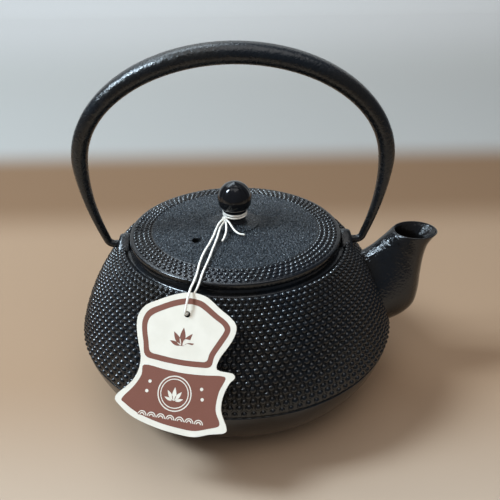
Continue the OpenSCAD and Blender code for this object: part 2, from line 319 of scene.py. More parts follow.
def cut(casting: Object, cutter: Object) -> Object:
    """Cuts one closed mesh out of a casting and removes the cutter.

    Args:
        casting: The piece that loses material.
        cutter: The closed mesh that is taken away.

    Returns:
        The casting, with its mesh replaced.
    """
    mod = casting.modifiers.new("cut", "BOOLEAN")
    mod.operation = "DIFFERENCE"
    mod.solver = "MANIFOLD"
    mod.object = cutter
    mesh = mesh_of(casting)
    casting.modifiers.clear()
    casting.data = mesh
    bpy.data.objects.remove(cutter)
    shade_smooth(mesh, Crease.CASTING)
    return casting


def rod(start: Vector, end: Vector, radius: float, sides: int = 40) -> Object:
    """A closed round rod to cut with.

    Args:
        start: Centre of one end.
        end: Centre of the other.
        radius: Its radius.
        sides: Its sides.

    Returns:
        The rod's object.
    """
    skin = Skin()
    along = (end - start).normalized()
    u = along.orthogonal().normalized()
    v = along.cross(u)
    turns = [spoke(i, sides) for i in range(sides)]
    rings = [skin.add(centre + radius * (c * u + s * v) for c, s in turns) for centre in (start, end)]
    skin.join(*rings)
    skin.faces += [tuple(reversed(rings[0])), tuple(rings[1])]
    return skin.piece("cutter")


# ---------------------------------------------------------------- finishes


class Shade:
    """One material's nodes, with short calls for the ones that the finishes use."""

    MIX_A, MIX_B, MIX_RESULT = 6, 7, 2  # the mix node's sockets that hold colours

    def __init__(self, name: str) -> None:
        """Makes the material and its shader.

        Args:
            name: The material's name.
        """
        self.material = bpy.data.materials.new(name)
        self.material.use_nodes = True
        self.tree = self.material.node_tree
        self.tree.nodes.clear()
        out = self.node("OutputMaterial")
        self.shader = self.node("BsdfPrincipled")
        self.link(self.shader.outputs[0], out.inputs[0])
        self.place = self.node("TexCoord").outputs["Object"]

    def node(self, kind: str) -> bpy.types.Node:
        """Adds a shader node of a kind."""
        return self.tree.nodes.new("ShaderNode" + kind)

    def link(self, source: Socket, target: Socket) -> None:
        """Links an output to an input."""
        self.tree.links.new(source, target)

    def set(self, **values: object) -> None:
        """Sets the shader's sockets: a socket is linked, and a number or colour is written.

        Args:
            **values: Socket names with _ for a space, and what they get.
        """
        for name, value in values.items():
            socket = self.shader.inputs[name.replace("_", " ")]
            if isinstance(value, Socket):
                self.link(value, socket)
            else:
                socket.default_value = (*value, 1) if isinstance(value, tuple) else value

    def noise(self, scale: float, detail: float = 2, stretch: Optional[Place] = None) -> Socket:
        """A noise texture's value.

        Args:
            scale: Features in a metre.
            detail: How many finer layers it has.
            stretch: Factors along X, Y and Z.

        Returns:
            The value's socket.
        """
        where = self.place
        if stretch:
            mapping = self.node("Mapping")
            mapping.inputs["Scale"].default_value = stretch
            self.link(where, mapping.inputs[0])
            where = mapping.outputs[0]
        node = self.node("TexNoise")
        node.inputs["Scale"].default_value = scale
        node.inputs["Detail"].default_value = detail
        self.link(where, node.inputs["Vector"])
        return node.outputs["Fac"]

    def cells(self, scale: float) -> Socket:
        """Distance to the middle of the nearest cell, for round grains.

        Args:
            scale: Cells in a metre.

        Returns:
            The distance's socket.
        """
        node = self.node("TexVoronoi")
        node.inputs["Scale"].default_value = scale
        self.link(self.place, node.inputs["Vector"])
        return node.outputs["Distance"]

    def depth(self) -> Socket:
        """The place along Y, in metres.

        Returns:
            The place's socket.
        """
        node = self.node("SeparateXYZ")
        self.link(self.place, node.inputs[0])
        return node.outputs["Y"]

    def span(self, value: Socket, low: float, high: float, start: float = 0.3, end: float = 0.7) -> Socket:
        """Spreads a value over a new range.

        Args:
            value: The value.
            low: The result at start.
            high: The result at end.
            start: Where the old range starts.
            end: Where it ends.

        Returns:
            The new value's socket.
        """
        node = self.node("MapRange")
        node.interpolation_type = "SMOOTHSTEP"
        self.link(value, node.inputs["Value"])
        for name, number in (("From Min", start), ("From Max", end), ("To Min", low), ("To Max", high)):
            node.inputs[name].default_value = number
        return node.outputs["Result"]

    def stray(self, value: Socket, middle: float, spread: Flat) -> Socket:
        """A value near a middle one, which strays down and up from it by a spread."""
        return self.span(value, middle + spread[0], middle + spread[1])

    def between(self, value: Socket, a: Colour | Socket, b: Colour) -> Socket:
        """A colour between two.

        Args:
            value: 0 for the first colour, 1 for the second.
            a: The first colour, or the socket that gives it.
            b: The second colour.

        Returns:
            The colour's socket.
        """
        node = self.node("Mix")
        node.data_type = "RGBA"
        self.link(value, node.inputs[0])
        if isinstance(a, Socket):
            self.link(a, node.inputs[self.MIX_A])
        else:
            node.inputs[self.MIX_A].default_value = (*a, 1)
        node.inputs[self.MIX_B].default_value = (*b, 1)
        return node.outputs[self.MIX_RESULT]

    def bump(self, height: Socket, depth: float, under: Optional[Socket] = None) -> Socket:
        """A bumped normal.

        Args:
            height: The height's value.
            depth: The depth of a height of 1, in millimetres.
            under: The normal of a coarser bump below this one.

        Returns:
            The normal's socket.
        """
        node = self.node("Bump")
        node.inputs["Distance"].default_value = depth * MM
        self.link(height, node.inputs["Height"])
        if under:
            self.link(under, node.inputs["Normal"])
        return node.outputs[0]


@dataclass(frozen=True)
class IronFinish:
    """Lacquered cast iron: near black, satin, with the sand mould's skin."""

    name: str
    colour: Colour = (0.003, 0.0045, 0.0068)
    warm: Colour = (0.0062, 0.0052, 0.0042)
    patches: float = 45
    roughness: float = 0.17
    spread: Flat = (-0.04, 0.08)
    clouds: float = 260
    peel: float = 700
    peel_depth: float = 0.1
    grain: float = 1400
    grain_depth: float = 0.02
    shine: float = 0.54

    def material(self) -> Material:
        """Makes the material: warm and cool patches, uneven gloss, and two sizes of bump.

        Returns:
            The material.
        """
        shade = Shade(self.name)
        patches = shade.span(shade.noise(self.patches, 4), 0, 1)
        gloss = shade.stray(shade.noise(self.clouds, 4), self.roughness, self.spread)
        peel = shade.bump(shade.noise(self.peel, 2), self.peel_depth)
        grain = shade.bump(shade.noise(self.grain, 3), self.grain_depth, peel)
        shade.set(Base_Color=shade.between(patches, self.colour, self.warm), Roughness=gloss, Normal=grain)
        shade.set(Specular_IOR_Level=self.shine, IOR=1.5)
        return shade.material


@dataclass(frozen=True)
class SandFinish:
    """The rough skin left by coarse mould sand: close round grains that glint."""

    name: str
    colour: Colour = (0.011, 0.015, 0.02)
    pale: Colour = (0.036, 0.044, 0.052)
    patches: float = 1300
    roughness: float = 0.3
    spread: Flat = (-0.1, 0.14)
    clouds: float = 700
    swell: float = 900
    swell_depth: float = 0.8
    sand: float = 1200
    sand_depth: float = 1.5
    shine: float = 0.62

    def material(self) -> Material:
        """Makes the material from cells of grains over a slow swell.

        Returns:
            The material.
        """
        shade = Shade(self.name)
        grains = shade.cells(self.sand)
        swell = shade.bump(shade.noise(self.swell, 3), self.swell_depth)
        sand = shade.bump(grains, -self.sand_depth, swell)
        tint = shade.span(shade.noise(self.patches, 3), 0, 1, 0.35, 0.65)
        gloss = shade.stray(shade.noise(self.clouds, 3), self.roughness, self.spread)
        shade.set(Base_Color=shade.between(tint, self.colour, self.pale), Roughness=gloss, Normal=sand)
        shade.set(Specular_IOR_Level=self.shine)
        return shade.material


@dataclass(frozen=True)
class GlossFinish:
    """Glossy black enamel over iron."""

    name: str
    colour: Colour = (0.006, 0.006, 0.007)
    roughness: float = 0.1
    spread: Flat = (0, 0.08)
    clouds: float = 300
    waves: float = 260
    wave_depth: float = 0.05
    shine: float = 0.35
    coat: float = 0.12
    coat_roughness: float = 0.05

    def material(self) -> Material:
        """Makes the material: smooth, with a faint unevenness in its gloss.

        Returns:
            The material.
        """
        shade = Shade(self.name)
        gloss = shade.stray(shade.noise(self.clouds, 3), self.roughness, self.spread)
        waves = shade.bump(shade.noise(self.waves, 2), self.wave_depth)
        shade.set(Base_Color=self.colour, Roughness=gloss, Normal=waves)
        shade.set(Specular_IOR_Level=self.shine, Coat_Weight=self.coat, Coat_Roughness=self.coat_roughness)
        return shade.material


@dataclass(frozen=True)
class SteelFinish:
    """Stainless steel, drawn or turned."""

    name: str
    colour: Colour = (0.62, 0.62, 0.63)
    roughness: float = 0.28
    spread: Flat = (-0.06, 0.1)
    lines: float = 2400
    stretch: Place = (0.1, 0.1, 1)
    line_depth: float = 0.01

    def material(self) -> Material:
        """Makes the material: bright metal with fine lines round it.

        Returns:
            The material.
        """
        shade = Shade(self.name)
        lines = shade.noise(self.lines, 2, self.stretch)
        gloss = shade.stray(lines, self.roughness, self.spread)
        groove = shade.bump(lines, self.line_depth)
        shade.set(Base_Color=self.colour, Metallic=1.0, Roughness=gloss, Normal=groove)
        return shade.material


@dataclass(frozen=True)
class MattFinish:
    """A matt skin with fine fibres: uncoated card, the flat ink printed on it, or painted shade in a hole.
    """

    name: str
    colour: Colour
    other: Colour
    roughness: float = 0.72
    spread: Flat = (-0.08, 0.1)
    clouds: float = 130
    fibres: float = 1500
    fibre_depth: float = 0.02
    shine: float = 0.3

    def material(self) -> Material:
        """Makes the material: clouds in the colour, and fine fibres in the gloss and the surface.

        Returns:
            The material.
        """
        shade = Shade(self.name)
        fibres = shade.noise(self.fibres, 4)
        cloud = shade.span(shade.noise(self.clouds, 3), 0, 1)
        shade.set(
            Base_Color=shade.between(cloud, self.colour, self.other),
            Roughness=shade.stray(fibres, self.roughness, self.spread),
            Normal=shade.bump(fibres, self.fibre_depth),
        )
        shade.set(Specular_IOR_Level=self.shine)
        return shade.material


@dataclass(frozen=True)
class TwineFinish:
    """Soft white cotton twine."""

    name: str
    colour: Colour = (0.93, 0.91, 0.86)
    shadow: Colour = (0.75, 0.71, 0.62)
    roughness: float = 0.9
    fibres: float = 4200
    fibre_depth: float = 0.06
    sheen: float = 0.3
    shine: float = 0.2

    def material(self) -> Material:
        """Makes the material: matt cotton with fibres and a soft sheen.

        Returns:
            The material.
        """
        shade = Shade(self.name)
        fibres = shade.noise(self.fibres, 4)
        shade.set(
            Base_Color=shade.between(shade.span(fibres, 0, 1), self.colour, self.shadow),
            Roughness=self.roughness,
            Normal=shade.bump(fibres, self.fibre_depth),
        )
        shade.set(Sheen_Weight=self.sheen, Specular_IOR_Level=self.shine)
        return shade.material


@dataclass(frozen=True)
class SweepFinish:
    """Matt backdrop whose colour changes along Y, from near to far.

    Each band says where its change starts and ends, in metres, and the colour that it
    changes to: a paler floor, tan about the pot, browner behind it, grey, then pale grey.
    The near colour is painted shade: a dark floor under and behind the camera, which the
    pot reflects. The paler floor in front is painted light that lifts the shade there, and
    the glow at the back is painted light.
    """

    name: str
    # painted shade: the floor under and behind the camera is dark, so the pot reflects a dim room
    near: Colour = (0.16, 0.11, 0.07)
    bands: tuple[tuple[float, float, Colour], ...] = (
        # painted light: the paler floor in front lifts the shade that falls there
        (-0.36, -0.17, (0.375, 0.295, 0.225)),
        (-0.13, 0, (0.277, 0.184, 0.116)),
        (0.14, 0.21, (0.17, 0.1, 0.055)),
        (0.27, 0.34, (0.31, 0.3, 0.28)),
        (0.5, 1, (0.4, 0.395, 0.385)),
    )
    roughness: float = 0.85
    shine: float = 0.15
    glow: float = 0.35
    glow_start: float = 0.3
    glow_end: float = 1

    def material(self) -> Material:
        """Makes the material, with the colours blended softly and a faint glow at the back, which is painted
        light.

        Returns:
            The material.
        """
        shade = Shade(self.name)
        y = shade.depth()
        paper: Colour | Socket = self.near
        for start, end, colour in self.bands:
            paper = shade.between(shade.span(y, 0, 1, start, end), paper, colour)
        shade.set(Base_Color=paper, Roughness=self.roughness, Specular_IOR_Level=self.shine)
        # painted light: the backdrop glows more towards the back, where the lamps reach it less
        glow = shade.span(y, 0, self.glow, self.glow_start, self.glow_end)
        shade.set(Emission_Color=paper, Emission_Strength=glow)
        return shade.material


# ---------------------------------------------------------------- pieces on their bodies


def fit(piece: Object, body: Body, slot: Slot, finish: Material, *nodes: str) -> Object:
    """Puts a finished piece on its body.

    Args:
        piece: The piece, in place in the frame.
        body: The body that it rides on.
        slot: The record's slot that its finish belongs to. Not used.
        finish: Its material.
        *nodes: The CAD nodes that it stands for.

    Returns:
        The piece.
    """
    piece.data.materials.clear()
    piece.data.materials.append(finish)
    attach(piece, body.value)
    if nodes:
        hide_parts(*nodes)
    LOG.info("%s rides on %s with %d faces", piece.name, body.value, len(piece.data.polygons))
    return piece


# The points round a stud's own hexagon: twelfths of the spacing round, and seventy-fifths
# of the spacing between rows
CELL_EDGE = (
    (6, 0), (6, 21), (4, 32), (2, 43), (0, 54), (-2, 43), (-4, 32), (-6, 21),
    (-6, 0), (-6, -21), (-4, -32), (-2, -43), (0, -54), (2, -43), (4, -32), (6, -21),
)  # fmt: skip
CELL_BOTTOM = CELL_EDGE[9:15]
CELL_TOP = CELL_EDGE[7:1:-1]
ROW_UNITS = 75
TURN_UNITS = 12


@dataclass
class StudField:
    """Staggered rows of round studs on a turned surface, the same count in every row.

    outline gives the surface's (radius, height) and its outward normal at a distance
    along it, in millimetres. The field fills its span exactly. A stud's radius is limited
    to a share of the spacing round, called fill. Each stud's middle, radius and height
    stray a little within drift, radii and heights.
    """

    outline: Callable[[float], tuple[Flat, Flat]]
    count: int
    rows: int
    span: float
    height: float
    radius: float
    seed: int
    squeeze: float = 0
    low_margin: int = 47
    high_margin: int = 40
    edge_gap: int = 3
    measured_at: int = 100
    fill: float = 0.465
    drift: float = 0.04
    radii: Flat = (0.95, 1.0)
    heights: Flat = (0.9, 1.06)
    steps: tuple[Flat, ...] = ((1.0, 0.0), (0.84, 0.38), (0.58, 0.74), (0.28, 0.94))

    def along(self, units: float) -> float:
        """The distance along the outline at a number of units, closer together at the end."""
        share = units / ((self.rows - 1) * ROW_UNITS + self.low_margin + self.high_margin + 2)
        return self.span * share * (1 + self.squeeze * (1 - share * share))

    def place(self, turn: float, along: float, rise: float) -> Vector:
        """A point over the surface.

        Args:
            turn: Its angle round Z.
            along: Its distance along the outline.
            rise: Its height over the surface.

        Returns:
            The point.
        """
        (r, z), (nr, nz) = self.outline(along)
        r, z = r + nr * rise, z + nz * rise
        return Vector((r * math.cos(turn), r * math.sin(turn), z))

    def level(self, row: int, step: int) -> int:
        """A cell point's units along the outline, held inside the field's two edges.

        Args:
            row: The stud's row.
            step: The point's units up from the stud's middle.

        Returns:
            Its units from the field's start.
        """
        if row == 0:
            step = max(step, -self.low_margin)
        if row == self.rows - 1:
            step = min(step, self.high_margin)
        return row * ROW_UNITS + self.low_margin + 1 + step

    def middle(self, row: int, column: int) -> int:
        """The units round of a stud's middle."""
        return TURN_UNITS * column + (row % 2) * TURN_UNITS // 2

    def room(self) -> float:
        """The radius that an end row's stud has room for, beside the field's edge."""
        units = min(self.low_margin, self.high_margin) - self.edge_gap
        return self.along(self.measured_at + units) - self.along(self.measured_at)

    def build(self, skin: Skin) -> tuple[list[int], list[int]]:
        """Adds the field to a skin.

        Args:
            skin: The skin that it becomes part of.

        Returns:
            The first and the last ring's point numbers.
        """
        rng = random.Random(self.seed)
        around = TURN_UNITS * self.count
        spokes = [spoke(k, len(CELL_EDGE)) for k in range(len(CELL_EDGE))]
        lattice: dict[tuple[int, int], int] = {}

        def corner(a: int, b: int) -> int:
            """The shared point at whole units round and along.

            Args:
                a: Units round.
                b: Units along.

            Returns:
                The point's number.
            """
            key = (a % around, b)
            if key not in lattice:
                lattice[key] = skin.add([self.place(FULL * key[0] / around, self.along(b), 0)])[0]
            return lattice[key]

        for row in range(self.rows):
            for column in range(self.count):
                centre = self.middle(row, column)
                rim = [corner(centre + a, self.level(row, b)) for a, b in CELL_EDGE]
                along = self.along(self.level(row, 0)) + rng.uniform(-self.drift, self.drift)
                r = self.outline(along)[0][0]
                turn = FULL * centre / around + rng.uniform(-self.drift, self.drift) / r
                size = min(self.radius, self.fill * FULL * r / self.count) * rng.uniform(*self.radii)
                if row in (0, self.rows - 1):
                    size = min(size, self.room())
                tall = self.height * rng.uniform(*self.heights)
                for out, up in self.steps:
                    reach, rise = size * out, tall * up
                    ring = skin.add(
                        self.place(turn + reach * c / r, along + reach * s, rise) for c, s in spokes
                    )
                    skin.join(rim, ring)
                    rim = ring
                skin.fan(rim, self.place(turn, along, tall))
        return self.edge(skin, corner, 0, CELL_BOTTOM), self.edge(skin, corner, self.rows - 1, CELL_TOP)

    def edge(
        self, skin: Skin, corner: Callable[[int, int], int], row: int, steps: Sequence[tuple[int, int]]
    ) -> list[int]:
        """Closes the zigzag side of an end row with an even ring.

        Args:
            skin: The field's skin.
            corner: Gives the shared point at whole units.
            row: The row.
            steps: The cell's points on that side, from left to right.

        Returns:
            The even ring's point numbers.
        """
        around = TURN_UNITS * self.count
        found = {}
        for column in range(self.count):
            for a, b in steps:
                turn = (self.middle(row, column) + a) % around
                found[turn] = corner(turn, self.level(row, b))
        zigzag = [found[turn] for turn in sorted(found)]
        along = self.span if row else 0
        even = skin.add(self.place(FULL * t / around, along, 0) for t in sorted(found))
        skin.join(zigzag, even)
        return even


@dataclass
class Pot:
    """The round pot: a studded shoulder and belly, a smooth lower band, a collar and a hollow inside."""

    belly_c: Flat = (55, 32)
    belly_round: float = 20
    belly_turn: float = 15
    shoulder_round: float = 92
    under_round: float = 41.4
    under_turn: float = 11.5
    under_start: float = 12.6
    wall: float = 3.4
    base_t: float = 4
    valley: float = 0.3
    port_z: float = 52
    port_r: float = 9
    port_start: float = 41.6
    port_end: float = 90
    studs: int = 118
    rows: int = 20
    stud_height: float = 1.1
    stud_radius: float = 1.6
    first_turn: float = 1.6
    last_turn: float = 43.4
    collar: tuple[Flat, ...] = (
        (51.95, 76.1), (51.8, 75.5), (51.5, 75), (50.9, 74.7), (49.8, 74.6), (49.1, 74.9), (48.8, 75.6),
        (48.75, 77.7), (48.6, 77.9), (48.3, 78), (44.8, 78), (44.5, 77.9), (44.4, 77.7), (44.4, 76.5),
        (44.25, 76.4), (41.9, 76.4), (41.65, 76.3), (41.6, 76.1), (41.6, 72.2),
    )  # fmt: skip
    groove: tuple[Flat, ...] = ((74.45, 32.2), (74.3, 31.95), (74.35, 31.7), (74.7, 31.55), (74.85, 31.3))
    floor: tuple[float, ...] = (30, 12, 1)
    foot: tuple[Flat, ...] = ((44, 0.12), (43.6, 0), (20, 0), (1, 0))

    @cached_property
    def shoulder_c(self) -> Flat:
        """The middle of the shoulder's arc, which runs on from the belly's, to a thousandth."""
        (x, z), (c, s), step = self.belly_c, aim(self.belly_turn), self.belly_round - self.shoulder_round
        return round(x + step * c, 3), round(z + step * s, 3)

    @cached_property
    def under_c(self) -> Flat:
        """The middle of the lower side's arc, which starts under the widest place, to a thousandth."""
        (x, z), (c, s) = self.belly_c, aim(self.under_turn)
        return round(x + self.belly_round - self.under_round * c, 3), round(z + self.under_round * s, 3)

    def shoulder(self, along: float) -> tuple[Flat, Flat]:
        """The outline between the studs, from the belly's groove up to the collar.

        Args:
            along: Distance up it.

        Returns:
            The (radius, height) there and the outward normal.
        """
        low = self.belly_round - self.valley
        first = math.radians(self.belly_turn - self.first_turn) * low
        if along < first:
            centre, radius, angle = self.belly_c, low, math.radians(self.first_turn) + along / low
        else:
            centre, radius = self.shoulder_c, self.shoulder_round - self.valley
            angle = math.radians(self.belly_turn) + (along - first) / radius
        n = (math.cos(angle), math.sin(angle))
        return (centre[0] + radius * n[0], centre[1] + radius * n[1]), n

    def arc(self, centre: Flat, radius: float, start: float, end: float, steps: int) -> list[Flat]:
        """Points along an arc in the (radius, height) plane.

        Args:
            centre: Its centre.
            radius: Its radius.
            start: Its first angle, in degrees.
            end: Its last angle.
            steps: How many stretches it has.

        Returns:
            The points.
        """
        turns = [math.radians(start + (end - start) * i / steps) for i in range(steps + 1)]
        return [(centre[0] + radius * math.cos(t), centre[1] + radius * math.sin(t)) for t in turns]

    def inside(self) -> list[Flat]:
        """The hollow's outline, from the collar down to the floor.

        Returns:
            Its (radius, height) points.
        """
        inner_r = self.under_round - self.wall
        floor_turn = -math.degrees(math.asin((self.under_c[1] - self.base_t) / inner_r))
        return [
            *self.arc(self.shoulder_c, self.shoulder_round - self.wall, self.last_turn, self.belly_turn, 14),
            *self.arc(self.belly_c, self.belly_round - self.wall, self.belly_turn, 0, 4)[1:],
            *self.arc(self.under_c, inner_r, -self.under_turn, floor_turn, 14),
            *((r, self.base_t) for r in self.floor),
        ]

    def outside(self) -> list[Flat]:
        """The outline below the studs, from the belly's groove down to the foot.

        Returns:
            Its (radius, height) points.
        """
        base_turn = -math.degrees(math.asin(self.under_c[1] / self.under_round))
        side = self.arc(self.under_c, self.under_round, -self.under_start, base_turn + 1, 26)
        return [*self.groove, *side, *self.foot]

    def build(self) -> Object:
        """Builds the pot as one closed skin.

        Returns:
            The pot.
        """
        skin = Skin()
        span = math.radians(self.belly_turn - self.first_turn) * (self.belly_round - self.valley)
        span += math.radians(self.last_turn - self.belly_turn) * (self.shoulder_round - self.valley)
        studded = StudField(
            self.shoulder, self.studs, self.rows, span, self.stud_height, self.stud_radius,
            seed=7, squeeze=0.06, low_margin=40,
        )  # fmt: skip
        low, high = studded.build(skin)
        upper = skin.turn([*self.collar, *self.inside()], len(high))
        skin.join(high, upper[0])
        skin.fan(upper[-1], Vector((0, 0, self.base_t)))
        lower = skin.turn(self.outside(), len(low))
        skin.join(low, lower[0])
        skin.fan(lower[-1], Vector((0, 0, 0)))
        pot = skin.piece("pot_casting", Crease.CASTING)
        start, end = (Vector((x, 0, self.port_z)) for x in (self.port_start, self.port_end))
        return cut(pot, rod(start, end, self.port_r))

    def dress(self, iron: Material) -> None:
        """Builds the pot and puts it on its body."""
        fit(self.build(), Body.POT, Slot.IRON, iron, "pot")


@dataclass
class Spout:
    """The short spout: egg-shaped sections from the pot's wall to a round lip.

    Each section is its upper edge's x and z, its lower edge's x and z, its half width
    and how much wider its lower half is. Inside the lip the wall grows by taper at each
    station, up to its full thickness.
    """

    wall: float = 2.4
    lip: float = 0.7
    lip_rise: float = 0.25
    lip_turns: tuple[float, ...] = (25, 60, 90, 120, 155)
    taper: float = 0.16
    sides: int = 56
    steps: int = 5
    sections: tuple[tuple[float, ...], ...] = (
        (57.8, 66.4, 73.2, 30, 14.6, 0.3),
        (61.4, 68, 74.8, 31.2, 13.8, 0.3),
        (66, 71.3, 82, 34.6, 13.2, 0.26),
        (69.1, 74.1, 87.3, 40, 12.6, 0.2),
        (71.2, 76, 89.1, 48, 11.8, 0.15),
        (72.4, 77.1, 89.5, 57, 10.7, 0.1),
        (73.3, 77.8, 90.1, 65.5, 10, 0.05),
        (73.9, 78.3, 91.5, 72, 9.4, 0),
        (74.4, 78.7, 93.7, 76, 9.3, 0),
        (74.8, 78.75, 95.75, 78.65, 9.35, 0),
    )

    def ring(self, s: Sequence[float], inset: float, rise: float = 0) -> list[Vector]:
        """One section's points.

        Args:
            s: The section.
            inset: How far its points move in.
            rise: How far they move up.

        Returns:
            The points.
        """
        upper, lower = Vector((s[0], 0, s[1])), Vector((s[2], 0, s[3]))
        middle, half = (upper + lower) / 2, (upper - lower) / 2
        half *= 1 - inset / half.length
        width = s[4] - inset
        out = []
        for i in range(self.sides):
            c, n = spoke(i, self.sides)
            out.append(middle + half * c + Vector((0, -width * n * (1 - s[5] * c), rise)))
        return out

    def build(self) -> Object:
        """Builds the spout as one closed skin, outside, lip and channel.

        Returns:
            The spout.
        """
        stations = curve_through(self.sections, self.steps)
        skin = Skin()
        rings = [skin.add(self.ring(s, 0)) for s in stations]
        for turn in self.lip_turns:
            c, s = aim(turn)
            rings.append(skin.add(self.ring(stations[-1], self.lip / 2 * (1 - c), self.lip_rise * s)))
        for k, station in enumerate(reversed(stations)):
            rings.append(skin.add(self.ring(station, min(self.wall, self.lip + self.taper * k))))
        skin.sleeve(rings, closed=True)
        return skin.piece("spout_casting", Crease.CASTING)

    def dress(self, iron: Material) -> None:
        """Builds the spout and puts it on its body."""
        fit(self.build(), Body.POT, Slot.IRON, iron, "spout")


@dataclass
class Ears:
    """The two lugs on the shoulder that hold the handle's hooked ends.

    flare and skirt are the foot's (y, height) points, out from the half width and up
    from the pivot. The two ends' slices are their distance from the inner or the outer
    face and how far the outline is moved in there.
    """

    inner: float = 49.6
    outer: float = 55.44
    pivot_z: float = 74.8
    top: float = 4.8
    half_y: float = 8.2
    round_top: float = 5
    lean: float = 1.1
    bore_r: float = 1.9
    bore_start: float = 51.8
    bore_depth: float = 12
    flare: tuple[Flat, ...] = ((-1.6, 1.15), (-0.3, 0.1), (0.4, -1.2))
    skirt: tuple[Flat, ...] = ((0.8, -4), (0.8, -9))
    inner_slices: tuple[Flat, ...] = ((0, 0.5), (0.15, 0.15), (0.5, 0))
    outer_slices: tuple[Flat, ...] = ((-2.2, 0), (-1.2, 0.1), (-0.5, 0.4), (-0.15, 0.8), (0, 1.3))

    def side(self, inset: float) -> list[Flat]:
        """The ear's outline seen along X: a wide foot and a round top.

        Args:
            inset: How far it is moved in.

        Returns:
            Its (y, height) points, from the one foot over the top to the other.
        """
        r = self.round_top - inset
        middle = self.pivot_z + self.top - self.round_top
        half = [(r * s, middle + r * c) for c, s in (aim(t) for t in range(0, 41, 8))]
        half += [(self.half_y + y - inset, self.pivot_z + z - inset) for y, z in self.flare]
        half += [(self.half_y + y - inset, self.pivot_z + z) for y, z in self.skirt]
        return [(-y, z) for y, z in reversed(half)] + half[1:]

    def block(self, side: int) -> Object:
        """Builds one ear as slices along X with rounded edges.

        Args:
            side: 1 for the spout's side, -1 for the other.

        Returns:
            The ear.
        """
        skin = Skin()
        slices = [(self.inner + x, inset) for x, inset in self.inner_slices]
        slices += [(self.outer + x, inset) for x, inset in self.outer_slices]
        rings = []
        for x, inset in slices:
            share = (x - self.inner) / (self.outer - self.inner)
            ring = []
            for y, z in self.side(inset):
                lean = self.lean * share * max(0.0, (z - self.pivot_z) / self.top)
                ring.append(Vector((side * (x - lean), y, z)))
            rings.append(skin.add(ring))
        skin.sleeve(rings)
        skin.faces += [tuple(rings[0]), tuple(rings[-1])]
        ear = skin.piece("ear_lug_right" if side > 0 else "ear_lug_left", Crease.CASTING)
        start = Vector((side * self.bore_start, 0, self.pivot_z))
        return cut(ear, rod(start, start + Vector((side * self.bore_depth, 0, 0)), self.bore_r))

    def dress(self, iron: Material) -> None:
        """Builds both ears and puts them on their body."""
        for side, node in ((-1, "ear_left"), (1, "ear_right")):
            fit(self.block(side), Body.POT, Slot.IRON, iron, node)


@dataclass
class Handle:
    """The bail: a flattened bar that leans out, arches over and narrows to two hooked ends.

    At the waist, where the legs meet the arch, the bar has the shares waist_t and waist_w
    of its full thickness and width. flatten and square shape its section: how much
    flatter its inner face is, and how far it leaves an ellipse.
    """

    pivot_z: float = 74.8
    hook_in: float = 52.24
    hook_out: float = 57.04
    hook_d: float = 3.6
    bend: float = 3.6
    foot: float = 59.34
    power: float = 1.9
    waist: float = 40.2
    reach: float = 68.44
    top: float = 88.5
    bar_t: float = 9.2
    bar_w: float = 13
    waist_t: float = 0.76
    waist_w: float = 0.72
    flatten: float = 0.06
    square: float = 0.3
    blunt: float = 0.7
    sides: int = 32
    leg_steps: int = 18
    arch_steps: int = 36

    def size(self, z: float) -> Flat:
        """The bar's thickness and width at a height above the pivots.

        Args:
            z: The height.

        Returns:
            The thickness and the width.
        """
        low = min(1.0, z / self.waist)
        high = max(0.0, (z - self.waist) / (self.top - self.waist))
        thick = self.hook_d + (self.bar_t * self.waist_t - self.hook_d) * low**self.power
        wide = self.hook_d + (self.bar_w * self.waist_w - self.hook_d) * low
        thick += self.bar_t * (1 - self.waist_t) * high**0.8
        return thick, wide + self.bar_w * (1 - self.waist_w) * math.sin(math.pi / 2 * high)

    def half(self) -> list[tuple[float, float, float, float]]:
        """The spout side's stations: x, height above the pivots, thickness and width.

        Returns:
            The stations, from the hook's end to the arch.
        """
        d = self.hook_d
        out = [(self.hook_in, 0.0, d - self.blunt, d - self.blunt)]
        for x in (self.hook_in + 0.3, self.hook_in + 2, self.hook_out - 1, self.hook_out):
            out.append((x, 0.0, d, d))
        for turn in range(-80, -25, 10):
            c, s = aim(turn)
            out.append((self.hook_out + self.bend * c, self.bend * (1 + s), d, d))
        start = self.bend + 0.4
        for i in range(self.leg_steps):
            z = start + (self.waist - start) * i / self.leg_steps
            x = self.reach - (self.reach - self.foot) * (1 - z / self.waist) ** self.power
            out.append((x, z, *self.size(z)))
        for i in range(self.arch_steps):
            t = math.pi / 2 * i / self.arch_steps
            z = self.waist + (self.top - self.waist) * math.sin(t)
            out.append((self.reach * math.cos(t), z, *self.size(z)))
        return out

    def build(self) -> Object:
        """Builds the bail as one closed skin.

        Returns:
            The handle.
        """
        right = self.half()
        line = right + [(0.0, self.top, self.bar_t, self.bar_w)]
        line += [(-x, z, t, w) for x, z, t, w in reversed(right)]
        skin = Skin()
        rings = []
        for k, (x, z, thick, wide) in enumerate(line):
            a, b = line[max(k - 1, 0)], line[min(k + 1, len(line) - 1)]
            d = Vector((b[0] - a[0], b[1] - a[1])).normalized()
            out = Vector((d[1], -d[0]))
            flat = min(1.0, max(0.0, (wide - self.hook_d) / (self.bar_w - self.hook_d)))
            ring = []
            for i in range(self.sides):
                c, s = spoke(i, self.sides)
                h = (c * (1 - self.flatten * flat) if c < 0 else c) * thick / 2
                w = math.copysign(abs(s) ** (1 - self.square * flat), s) * wide / 2
                ring.append(Vector((x + out[0] * h, w, self.pivot_z + z + out[1] * h)))
            rings.append(skin.add(ring))
        skin.sleeve(rings)
        skin.faces += [tuple(rings[0]), tuple(reversed(rings[-1]))]
        return skin.piece("bail", Crease.BAR)

    def dress(self, iron: Material) -> None:
        """Builds the bail and puts it on its body."""
        fit(self.build(), Body.HANDLE, Slot.IRON, iron, "handle")


